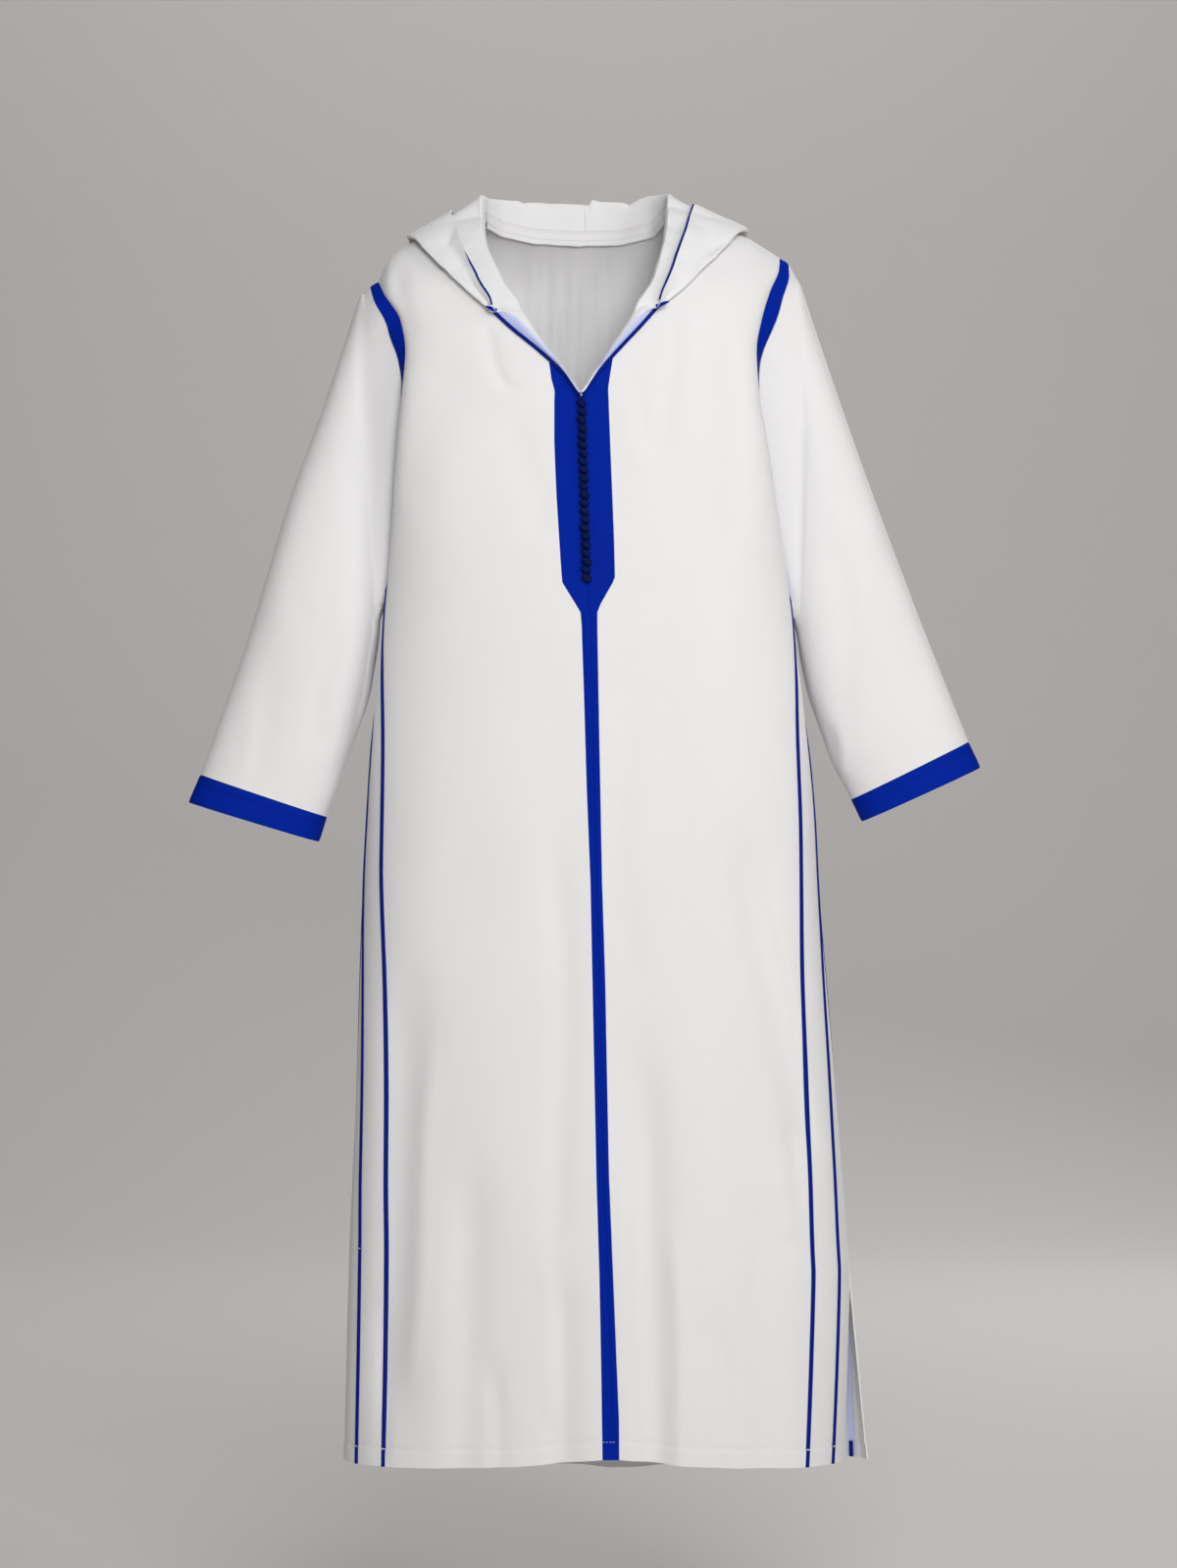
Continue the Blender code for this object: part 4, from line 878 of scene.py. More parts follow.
def threads(name, lines, material, radius=0.25, lift=0.2):
    """Continuous threads. Each line is a path and the normals along it."""
    points, faces = [], []
    for path, normal in lines:
        path, normal = np.array(path, float), unit(np.array(normal, float))
        way = unit(np.gradient(path, axis=0))
        side = unit(np.cross(way, normal))
        turns = np.linspace(0, 2 * math.pi, THREAD_POINTS + 1)[:-1]
        rings = (path[:, None] + normal[:, None] * lift
                 + side[:, None] * (np.cos(turns) * radius)[None, :, None]
                 + normal[:, None] * (np.sin(turns) * radius)[None, :, None])
        start = len(points)
        points += list(rings.reshape(-1, 3))
        faces += tube_faces(len(path), THREAD_POINTS, start)
    add_mesh(name, points, faces, material, sharp=70)


def overlock(edge, across, normal, width, pitch=1.7):
    """Zigzag of an overlocked edge, with the straight thread that runs beside it."""
    data = resample(np.concatenate([edge, across, normal], 1), pitch)
    path, way, up = data[:, :3], unit(data[:, 3:6]), unit(data[:, 6:])
    inside = (np.arange(len(path)) % 2)[:, None]
    return [(path + way * inside * width, up), (path + way * (width + 0.3), up)]


# ---------------------------------------------------------------- materials

class Paint:
    """A material being made: nodes are added by kind, with sockets given a value or joined."""

    def __init__(self, name, sockets):
        self.made = bpy.data.materials.new(name)
        self.made.use_nodes = True
        self.shader = self.made.node_tree.nodes["Principled BSDF"]
        self.fill(self.shader, sockets)

    def fill(self, node, sockets):
        for key, value in sockets.items():
            if isinstance(value, bpy.types.NodeSocket):
                self.made.node_tree.links.new(value, node.inputs[key])
            else:
                node.inputs[key].default_value = value

    def add(self, kind, result, sockets, **settings):
        """A node's output socket."""
        node = self.made.node_tree.nodes.new("ShaderNode" + kind)
        for key, value in settings.items():
            setattr(node, key, value)
        self.fill(node, sockets)
        return node.outputs[result]

    def mix(self, factor, a, b, blend="MIX"):
        return self.add("Mix", "Result", {"Factor": factor, "A": a, "B": b},
                        data_type="RGBA", blend_type=blend)

    def bump(self, height, strength, distance, under=None):
        sockets = {"Strength": strength, "Distance": distance, "Height": height}
        if under:
            sockets["Normal"] = under
        return self.add("Bump", "Normal", sockets)

    def waves(self, way, place, pitch, distortion, detail):
        return self.add("TexWave", "Fac", {"Vector": place, "Scale": 1 / pitch / 6.2832 * 2,
                                           "Distortion": distortion, "Detail": detail},
                        bands_direction=way)

    def finish(self, colour, normal):
        self.fill(self.shader, {"Base Color": colour, "Normal": normal})
        return self.made


def opaque(colour, share=1.0):
    return (*[c * share for c in colour], 1)


def cloth_material(name, colour, tint, roughness, sheen, strength=0.16, swell_shade=0.03, seed=0.0,
                   gloss=0.22):
    """Woven cloth: threads, uneven yarn, painted shade in the dips of its soft swells and between its
    threads, and a tint where a colour shows through.
    """
    paint = Paint(name, {"Roughness": roughness, "Sheen Weight": sheen, "Sheen Roughness": 0.45,
                         "Specular IOR Level": gloss})
    uv = paint.add("UVMap", "UV", {}, uv_map="cloth")
    warp, weft = [paint.waves(way, uv, THREAD_PITCH, 1.2, 1.0) for way in "XY"]
    weave = paint.add("Math", 0, {0: warp, 1: weft}, operation="MULTIPLY")
    place = paint.add("TexCoord", "Object", {})
    yarn = paint.add("TexNoise", "Fac", {"Vector": place, "Scale": 420, "Detail": 4})
    height = paint.add("Math", 0, {0: weave, 1: 0.6, 2: yarn}, operation="MULTIPLY_ADD")
    spot = paint.add("Mapping", "Vector", {"Vector": place, "Location": (seed, seed * 1.7, 0),
                                           "Scale": (1, 1, 0.45)})
    soft = paint.add("TexNoise", "Fac", {"Vector": spot, "Scale": 9, "Detail": 3, "Distortion": 0.4})
    normal = paint.bump(soft, 0.35, 0.004, paint.bump(height, strength, 0.0003))
    # Painted shade: the colour darkens where the soft swells' bump is low.
    shade = paint.mix(soft, opaque(colour, 1 - 2 * swell_shade), opaque(colour))
    # Painted shade between the threads: the colour darkens where the weave's bump is low.
    thread = paint.mix(0.10, shade, weave, "MULTIPLY")
    show = paint.add("Attribute", "Fac", {}, attribute_name="show")
    return paint.finish(paint.mix(show, thread, opaque(tint)), normal)


def cord_material(name, colour, pitch, roughness=0.55, strength=0.6):
    """Ribbed braid: slanted ribs along the cord, with painted shade in the grooves between them."""
    paint = Paint(name, {"Roughness": roughness, "Specular IOR Level": 0.1})
    uv = paint.add("UVMap", "UV", {}, uv_map="cloth")
    turned = paint.add("Mapping", "Vector", {"Vector": uv, "Rotation": (0, 0, 0.5)})
    ribs = paint.waves("Y", turned, pitch, 0.6, 1.5)
    # Painted shade: the same ribs that make the bump darken the colour in their grooves.
    return paint.finish(paint.mix(ribs, opaque(colour, 0.62), opaque(colour)),
                        paint.bump(ribs, strength, 0.0006))


def thread_material(name, colour):
    """Sewing thread: fine twist, with painted shade where the twist is low, so its tone changes along it."""
    paint = Paint(name, {"Roughness": 0.6, "Specular IOR Level": 0.15})
    place = paint.add("TexCoord", "Object", {})
    twist = paint.add("TexNoise", "Fac", {"Vector": place, "Scale": 900, "Detail": 2})
    # Painted shade: the twist that makes the bump also darkens the colour in its low parts.
    return paint.finish(paint.mix(twist, opaque(colour, 0.8), opaque(colour)),
                        paint.bump(twist, 0.4, 0.0003))


WHITE_COLOUR = (0.83, 0.823, 0.82)
HOOD_COLOUR = (0.83, 0.825, 0.825)
LAVENDER = (0.46, 0.53, 0.86)
BLUE_COLOUR = (0.001, 0.020, 0.35)
NAVY_COLOUR = (0.001, 0.008, 0.07)
white = cloth_material("white_cloth", WHITE_COLOUR, LAVENDER, 0.62, 0.25)
hood_white = cloth_material("white_hood_cloth", HOOD_COLOUR, LAVENDER, 0.60, 0.28, seed=3.0)
blue = cloth_material("blue_cloth", BLUE_COLOUR, (0.001, 0.006, 0.16), 0.7, 0.0, strength=0.3,
                      swell_shade=0.1, seed=1.0, gloss=0.03)
blue_cord = cord_material("blue_cord", (0.0, 0.014, 0.27), 0.0011)
navy = cord_material("navy_cord", NAVY_COLOUR, 0.0016, 0.75, 0.4)
white_thread = thread_material("white_thread", (0.84, 0.835, 0.82))
seam_thread = thread_material("seam_thread", (0.66, 0.65, 0.63))
blue_thread = thread_material("blue_thread", (0.0, 0.008, 0.2))


# ---------------------------------------------------------------- body panels

def shade_near(cloth, edge, reach):
    """Tint inside the first or last column, where the blue seam shows through."""
    start = cloth.grid[:, :1] if edge == "first" else cloth.grid[:, -1:]
    away = np.linalg.norm(cloth.grid - start, axis=2)
    cloth.show_inside = np.maximum(cloth.show_inside, SHOWS * np.exp(-(away / reach) ** 4))


def hem_fold(cloth, depth=0.5):
    """The turned-up hem stands a little proud below its stitch line, and puckers along it."""
    grid = cloth.grid
    from_bottom = walked(grid[::-1])[::-1]
    proud = depth * np.clip((HEM_TURN + 1 - from_bottom) / 2.0, 0, 1)
    line = np.exp(-((from_bottom - HEM_TURN) / 2.2) ** 2)
    across = walked(grid, 1)
    pucker = 0.22 * np.sin(across / 3.1) * np.sin(across / 17.0 + 1) * np.exp(
        -((from_bottom - HEM_TURN) / 9.0) ** 2)
    wave = 0.5 * np.sin(across / 21.0 + grid[0, 0, 0]) * np.exp(-from_bottom / 30.0)
    cloth.grid = grid + cloth.normal * (proud - 0.5 * line + pucker + wave)[..., None]


def inset(cloth, edge, away, below):
    """Points at distances in from the first or last column, below a height, with normals."""
    grid, up = cloth.grid, cloth.normal
    if edge == "last":
        grid, up = grid[:, ::-1], up[:, ::-1]
    rows = grid[:, 0, 2] < below
    grid, up = grid[rows], up[rows]
    walk = walked(grid, 1)
    spots, ups = [np.array([picked(away, w, line) for w, line in zip(walk, table)])
                  for table in (grid, up)]
    return spots, unit(ups)


def slit_hem(side, name, piece, edge):
    """Turned hem of a slit edge: its tape inside, overlocked along the raw edge, and topstitching."""
    below = SLIT_TOP[side] + SLIT_ABOVE
    spots, ups = inset(piece, edge, SLIT_TAPE, below)
    tape = Cloth(spots - ups * (CLOTH + 0.25))
    tape.normal = -ups
    tape.build("slit_tape_" + name, [], white, "hung", ["cloth_" + name], TAPE_CLOTH)
    edge_at = len(SLIT_TAPE) - 1
    path = tape.grid[:, edge_at] + (tape.grid[:, 0] - tape.grid[:, edge_at]) * 0.42
    way = unit(tape.grid[:, edge_at] - tape.grid[:, 0])
    lines = overlock(path, way, tape.normal[:, -1], 4.6, 2.2)
    threads("stitch_overlock_" + name, lines, seam_thread, 0.24, 0.1)
    spots, ups = inset(piece, edge, (TOPSTITCH,), below)
    slit_seams.append((spots[:, 0], ups[:, 0]))


def bartack(spot, way, up, count=4, length=8.0, apart=0.7):
    """Short threads side by side."""
    across = np.cross(way, up)
    lines = []
    for k in range(count):
        middle = spot + across * (k - (count - 1) / 2) * apart
        ends = [middle - way * length / 2, middle + up * 0.2, middle + way * length / 2]
        lines.append((np.array(ends), np.tile(up, (3, 1))))
    return lines


def hem_line(cloth):
    """The row of points on a hem's stitch line, with normals."""
    grid = cloth.grid
    k = np.argmin(abs(walked(grid[::-1])[::-1] - HEM_TURN), axis=0)
    j = np.arange(grid.shape[1])
    return grid[k, j], cloth.normal[k, j]


fronts = {}
slit_seams = []
crossings = []
tacks = []
strips = {}
backs = {}
for side in SIGN:
    fronts[side] = panel(side, NECK_EDGE[side], HEM_FRONT, False)
    x = NECK_EDGE[side][-1][0]
    line = [(float(smooth(RING, 2, 0)), NECK_BACK_Z), (x * 0.45, NECK_BACK_Z + 2),
            (x * 0.8, NECK_BACK_Z + 9), (x, float(ridge(x)))]
    backs[side] = panel(side, line, HEM_BACK, True)
    strips[side] = [Cloth(strip(side, k)) for k in range(4)]

back = Cloth(np.concatenate([backs["left"][:, ::-1], backs["right"][:, 1:]], 1))
hem_rows = []


def loop_of(side, front, attribute):
    """Closed edge of the body at the armhole: down the front, under and up the back."""
    ahead = getattr(front, attribute)[:KNEE + 1, -1]
    under = [getattr(s, attribute)[0, 1:] for s in strips[side]]
    behind = getattr(back, attribute)[:KNEE + 1, 0 if side == "left" else -1][::-1]
    return np.concatenate([ahead] + under + [behind[1:-1]])


def band_steps(side, loop):
    """Steps from the body's armhole edge to the sleeve, all round."""
    part = (ARMHOLE_TOP[side] - loop[:, 2]) / (ARMHOLE_TOP[side] - UNDERARM[side])
    out, up, inward = [smooth(BAND, k, part) for k in (1, 2, 3)]
    share = np.clip((BAND_MIDDLE - loop[:, 1]) / BAND_TURN, -1, 1)
    behind = np.clip((loop[:, 1] - BAND_MIDDLE) / 6.0, 0, 1)
    out = out + (np.maximum(out, BAND_BACK_OUT - BAND_NARROWS * part) - out) * behind
    inward = inward + (np.minimum(inward, BAND_BACK_IN) - inward) * behind
    return np.stack([SIGN[side] * out, share * inward, up], 1)


def section(row, angles, power):
    """Ring of a sleeve section with a point at each angle, from its outer edge to the front."""
    out_x, out_z, in_x, in_z, depth, half = row
    outer = np.array([out_x, depth, out_z], float)
    inner = np.array([in_x, depth, in_z], float)
    centre = (outer + inner) / 2
    c, s = np.cos(angles), np.sin(angles)
    size = (abs(c) ** power + abs(s) ** power) ** (-1 / power)
    return (centre + (outer - centre) * (c * size)[:, None]
            + np.array([0, -1.0, 0]) * (half * s * size)[:, None])


def sleeve(side, loop, loop_normal):
    """Armhole band, sleeve and cuff of one side."""
    head = loop + band_steps(side, loop)
    swell = np.array([SIGN[side] * 1.0, 0, 0])
    rows = [loop, (loop + head) / 2 + swell, head]
    band = Cloth(between(rows, np.linspace(0, 2, 7)), closed=True)
    band.normal[0] = unit(band.normal[0] + loop_normal)
    middle = (head.max(axis=0) + head.min(axis=0)) / 2
    half = (head.max(axis=0) - head.min(axis=0)) / 2
    angles = np.unwrap(np.arctan2((middle[1] - head[:, 1]) / half[1], (head[:, 2] - middle[2]) / half[2]))
    for _ in range(3):
        angles[1:-1] = (angles[:-2] + 2 * angles[1:-1] + angles[2:]) / 4
    start = head.copy()
    close = np.clip(1 - abs(head - loop)[:, 0] / HEAD_NEAR, 0, 1)
    start[:, 0] += SIGN[side] * HEAD_CLEAR * close
    rows = [start]
    for k, shape in enumerate(SLEEVE[side]):
        rows.append(section(shape, angles, SLEEVE_POWER + HEAD_POWER * math.exp(-k)))
    rows.insert(1, (rows[0] + rows[1]) / 2)
    places = np.concatenate([np.linspace(0, 2, 15)[:-1], np.linspace(2, len(rows) - 1, 64)])
    tube = Cloth(between(rows, places), closed=True)
    row = np.arange(len(places))[:, None]
    fade = np.clip((row - CREASES_FROM) / CREASES_FADE, 0, 1)
    fade = fade * np.clip((len(places) - 1 - row) / CREASES_END, 0, 1)
    x, y, z = np.moveaxis(tube.grid, -1, 0)
    facing_front = np.clip(0.5 - tube.normal[..., 1], 0, 1)
    dent = trough(x, z, SLEEVE_CREASES[side]) * fade * np.where(facing_front > 0.5, facing_front, 0.35)
    dent = dent * np.clip(abs(tube.normal[..., 1]) * 2, 0, 1)
    tube.grid = tube.grid - tube.normal * dent[..., None]
    tube.normal = normals_of(tube.grid, True) * (-1 if tube.turned else 1)
    first, last = [section(shape, angles, SLEEVE_POWER) for shape in CUFF[side]]
    parts = np.array(CUFF_PARTS)
    cuff_rows = first[None] * (1 - parts[:, None, None]) + last[None] * parts[:, None, None]
    cuff = Cloth(cuff_rows, closed=True)
    swell = np.interp(parts, *CUFF_SWELL)
    walk = np.cumsum(np.linalg.norm(np.diff(last, axis=0, prepend=last[-1:]), axis=1))
    pucker = np.sin(walk / 3.4) * 0.3 + np.sin(walk / 11.0) * 0.4
    wavy = swell[:, None] + pucker[None] * np.clip(parts, 0, 0.6)[:, None]
    cuff.grid = cuff.grid + cuff.normal * wavy[..., None]
    seam = [np.append(table[CUFF_STITCH], table[CUFF_STITCH][:1], 0)
            for table in (cuff.grid, cuff.normal)]
    band.edged(("top", "bottom"), pull=0.5, lip=0.0)
    band.build("cloth_armhole_" + side, ["armhole_" + side], blue,
               "stretched", ["cloth_front_" + side], 1.0)
    tube.edged(("top", "bottom"), pull=0.5)
    tube.build("cloth_sleeve_" + side, ["sleeve_" + side], white, "hung", ["cloth_armhole_" + side])
    cuff.edged(("top",), pull=0.2, depth=0.2, lip=0.1)
    cuff.build("cloth_cuff_" + side, ["cuff_" + side], blue,
               "hung", ["cloth_sleeve_" + side], CLOTH + CUFF_RISE)
    stitches("stitch_cuff_" + side, [seam], blue_thread, 2.4, 0.9, 0.3)


for side in SIGN:
    front = Cloth(fronts[side])
    loop = loop_of(side, front, "grid")
    sleeve(side, loop, loop_of(side, front, "normal"))
    hem_fold(front)
    hem_rows.append(hem_line(front))
    shade_near(front, "last", SHADE_NARROW)
    shade_near(front, "first", SHADE_MIDDLE)
    front.edged(("top", "first", "last"))
    front.build("cloth_front_" + side, ["front_" + side], white, "hung", ["cloth_back_panel"])
    seam_lines = []
    for piece, (name, shade_first, shade_last, slit_edge) in zip(strips[side], SIDE_PIECES):
        name += side
        seam_lines.append((piece.grid[:, 0].copy(), piece.normal[:, 0].copy()))
        if piece is strips[side][-1]:
            seam_lines.append((piece.grid[:, -1].copy(), piece.normal[:, -1].copy()))
        hem_fold(piece)
        hem_rows.append(hem_line(piece))
        if shade_first:
            shade_near(piece, "first", shade_first)
        if shade_last:
            shade_near(piece, "last", shade_last)
        if slit_edge:
            slit_hem(side, name, piece, slit_edge)
        if slit_edge == "last":
            spots, ups = inset(piece, "last", TACK_ENDS, SLIT_TOP[side] + SLIT_ABOVE)
            tacks += bartack((spots[0, 0] + spots[0, 1]) / 2 + ups[0, 0] * 0.4,
                             unit(spots[0, 1] - spots[0, 0]), ups[0, 0])
        piece.edged(("top", "first", "last"))
        piece.build("cloth_" + name, [name], white, "hung", ["cloth_front_" + side])
    for number, k in enumerate((0, 1, 3, 4)):
        path, normal = seam_lines[k]
        lift = 0.8 if number in (1, 2) else 0.5
        label = "stripe_%d_%s" % (number + 1, side)
        down = walked(path[::-1])[::-1]
        places = [(HEM_TURN, 6.4)]
        if number == 1 and side == "left":
            places.append((down[np.argmin(abs(path[:, 2] - SLIT_TOP[side]))], 5.6))
        for rise, length in places:
            at = int(np.argmin(abs(down - rise)))
            way = unit(path[at - 1] - path[at + 1] if at + 1 < len(path) else path[at - 1] - path[at])
            crossings += bartack(path[at] + normal[at] * (lift + 1.1), np.cross(way, normal[at]),
                                 normal[at], 2, length, 0.5)
        start = np.clip((path[0, 2] - path[:, 2]) / STRIPE_START, 0, 1) if number in (0, 3) else 1.0
        ribbon("cord_" + label, [label], path, normal, blue_cord,
               STRIPE_WIDTH * (0.3 + 0.7 * start), 1.5, lift - 0.3)
        inside = down < HEM_TURN - 1.5
        ribbon("turn_" + label, [], path[inside] - normal[inside] * (CLOTH + 0.9), -normal[inside],
               blue_cord, STRIPE_WIDTH, 0.8, 0.0)

threads("tack_slits", tacks, white_thread, 0.35, 0.2)
threads("tack_stripes", crossings, white_thread, 0.3, 0.2)
stitches("stitch_slits", slit_seams, white_thread, 2.4, 1.2, 0.26)

hem_fold(back)
hem_rows.append(hem_line(back))
shade_near(back, "first", SHADE_NARROW)
shade_near(back, "last", SHADE_NARROW)
back.edged(("top", "first", "last"))
back.build("cloth_back_panel", ["back_panel"], white, "hung", [])


# ---------------------------------------------------------------- blue middle

def front_face(x, z):
    """Depth of the front's outer face."""
    x, z = np.broadcast_arrays(np.asarray(x, float), np.asarray(z, float))
    out = np.zeros(x.shape)
    for body, mine in halves(x, z):
        if mine.any():
            walk = body.walk_to(x[mine].ravel(), z[mine].ravel())
            out[mine] = body.at(walk, z[mine].ravel())[:, 1]
    return out


def middle(rows, columns, from_placket):
    """Grid over the front's middle, whose rows lie level with those of the panels beside it."""
    part = np.linspace(0, 1, columns + 1)
    top = np.interp(part, (0, 0.5, 1), (NECK_EDGE["left"][0][1], PLACKET_TOP, NECK_EDGE["right"][0][1]))
    z = heights("left", 0, top if from_placket else STRIP_TOP, HEM_FRONT[0])[rows]
    z = np.broadcast_to(z, (len(z), columns + 1))
    left, right = straight(MIDDLE["left"], z), straight(MIDDLE["right"], z)
    x = left + (right - left) * part
    return np.stack([x, front_face(x, z), z], -1)


placket = Cloth(middle(slice(0, PLACKET_ROWS), PLACKET_COLUMNS, True))
slit_x = np.interp(placket.grid[..., 2], (-430, -392, -192, -185), (8.6, 7, 1, 0.4))
off = placket.grid[..., 0] - slit_x
crease = np.exp(-(off / 1.6) ** 2) * 0.9 - np.exp(-((off - 3.4) / 2.4) ** 2) * 0.5
placket.grid = placket.grid - placket.normal * crease[..., None]
placket.edged(("top", "first", "last"), lip=0.0)
placket.build("cloth_placket", ["placket"], blue, "hung", ["cloth_front_left"])

centre = Cloth(middle(slice(PLACKET_ROWS - 1, None), CENTRE_COLUMNS, False))
hem_fold(centre)
hem_rows.append(hem_line(centre))
part = np.linspace(0, 1, centre.grid.shape[1])[None]
fold_at = np.interp(centre.grid[:, :1, 2], (-1374, -425), (0.62, 0.45))
seam = np.exp(-((part - fold_at) / 0.07) ** 2) * 0.9 - 0.6 * np.exp(-((part - fold_at + 0.16) / 0.1) ** 2)
centre.grid = centre.grid - centre.normal * seam[..., None]
centre.edged(("top", "first", "last"), lip=0.0)
centre.build("cloth_centre_strip", ["centre_strip"], blue, "hung", ["cloth_placket"])


def knot_row():
    """Knotted buttons in their loops: slanted turns of thick cord, one against the next."""
    (top_x, top_z), (low_x, low_z) = KNOT_LINE
    short, long = KNOT_SIZE
    points, faces, uv = [], [], []
    rings, around = 15, 22
    for k in range(KNOTS):
        part = (k + 0.5) / KNOTS
        z = top_z + (low_z - top_z) * part
        x = top_x + (low_x - top_x) * part + 0.5 * math.sin(k * 2.4)
        y = float(front_face(x, z)) - 3.6
        lean = math.radians(KNOT_LEAN + 6 * math.sin(k * 1.7))
        size = 1 + 0.06 * math.sin(k * 3.1)
        start = len(points)
        for i in range(rings):
            theta = math.pi * (i + 0.02) / (rings - 1 + 0.04)
            for j in range(around):
                phi = 2 * math.pi * j / around
                strand = abs(math.sin(1.5 * phi + 1.4 * math.cos(theta) + k))
                r = short * size * (0.9 + 0.13 * strand ** 0.6) * math.sin(theta) ** 0.8
                a = r * math.cos(phi)
                b = r * math.sin(phi)
                c = long * size * math.cos(theta)
                px = a * math.cos(lean) - c * math.sin(lean)
                pz = a * math.sin(lean) + c * math.cos(lean)
                points.append((x + px, y + b, z + pz))
                uv.append((j / around * 24, i / rings * 15))
        faces += [tuple(q) for q in face_grid(rings, around, True, start, True)]
    made = add_mesh("knot_row", points, faces, navy, uv, sharp=70)
    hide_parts("knots")


knot_row()
point = np.array([-1.0, float(front_face(-1.0, -186.5)) - 0.4, -186.5])
threads("tack_point", bartack(point, np.array([1.0, 0, 0]), np.array([0, -1.0, 0]), 3, 14.0, 1.0),
        blue_thread, 0.28, 0.0)


# ---------------------------------------------------------------- hood and facings

def clear_of_body(points, clearance):
    """Points moved out until they clear the body's outer face."""
    x, y, z = np.moveaxis(points, -1, 0)
    top = ridge(x)
    behind = y > RIDGE_Y
    depth = np.zeros(x.shape)
    level = np.minimum(z, top - SHOULDER_ROUND * 0.3)
    for body, half in halves(x, z):
        for back_face in (False, True):
            mine = half & (behind == back_face)
            if mine.any():
                walk = body.walk_to(x[mine], level[mine], back_face)
                depth[mine] = body.pick(body.y, walk, level[mine])
    reach = abs(depth - RIDGE_Y) + clearance
    below = (top + clearance - z) / SHOULDER_ROUND
    out = abs(y - RIDGE_Y)
    limit = reach * np.sqrt(1 - (1 - np.clip(below, 0, 1)) ** 2)
    moved = (below > 0) & (out < reach) & (out < limit)
    height = top + clearance - SHOULDER_ROUND * (1 - np.sqrt(1 - np.clip(out / reach, 0, 1) ** 2))
    push_y = np.maximum(limit - out, 1e-9)
    push_z = np.maximum(height - z, 1e-6)
    size = 1 / (1 / push_y ** 2 + 1 / push_z ** 2)
    sign = np.where(behind, 1.0, -1.0)
    made = np.stack([x, y + sign * size / push_y, z + size / push_z], -1)
    return np.where(moved[..., None], made, points)


def hood_walk(station):
    """Points along the hood's cloth at one station, from the neck seam to the rim."""
    seam, top, fold, rim = [np.array(p, float) for p in station]
    lean = min(1.0, abs(fold[1]) / 60.0)
    apart = np.array([0.0, math.copysign(lean, fold[1]), 1.0 - lean])
    half = FOLD_HALF * min(1.0, np.linalg.norm(rim - fold) / 14.0)
    apart *= half / np.linalg.norm(apart)
    outward_step = (fold - top) / np.linalg.norm(fold - top) * half
    lower = fold - apart
    upper = fold + apart
    rise = (top - seam) / np.linalg.norm(top - seam)
    over = fold - top - rise * np.dot(fold - top, rise)
    over *= (TURN_FRONT + TURN_MORE * np.clip(fold[1] / 60.0, 0, 1)) / np.linalg.norm(over)
    turned = top + over
    points = [seam, seam + (top - seam) * 0.55, top, top + over / 2 + rise * TURN_CREST, turned]
    points += [turned + (lower - turned) * part for part in LOWER_PARTS]
    points += [lower, fold + outward_step, upper]
    points += [upper + (rim - upper) * part for part in UPPER_PARTS]
    return np.array(points)


def nearest(line, points):
    """Nearest point of a line of points to each of some points."""
    out = []
    for point in points:
        a, b = line[:-1], line[1:]
        t = np.clip(np.sum((point - a) * (b - a), 1) / np.sum((b - a) ** 2, 1), 0, 1)
        spots = a + (b - a) * t[:, None]
        out.append(spots[np.argmin(np.linalg.norm(spots - point, axis=1))])
    return np.array(out)


def crease_hood(cloth, side, places):
    """Soft swells and small folds, which move both plies of the hood alike, away from the body."""
    count = cloth.grid.shape[1]
    spot = np.arange(count)[None] / (count - 1)
    x, y, z = np.moveaxis(cloth.grid, -1, 0)
    out = np.stack([np.clip(x / 300, -0.4, 0.4), np.clip(y / 30, -1, 1), np.full(x.shape, 0.55)], -1)
    lean = np.sum(cloth.normal * unit(out), axis=2)
    way = cloth.normal * (np.sign(lean) * np.clip(abs(lean) * 3, 0, 1))[..., None]
    mask = np.clip(spot / 0.1, 0, 1) * np.clip((places[:, None] - 0.4) / 1.2, 0, 1)
    ahead = np.clip(-y / 12, 0, 1) * np.clip((spot - 0.55) * 8, 0, 1)
    move = HOOD_SWELL * ripples(cloth.grid, 52.0, 0.7 if side == "left" else 1.9)
    move = move + 0.25 * ripples(cloth.grid, 21.0, 4.1)
    move = move - ahead * trough(x, z, HOOD_CREASES[side])
    cloth.grid = cloth.grid + way * (move * mask)[..., None]


neck_line = np.concatenate([backs["left"][0][::-1], backs["right"][0][1:]])
tape_rows = []


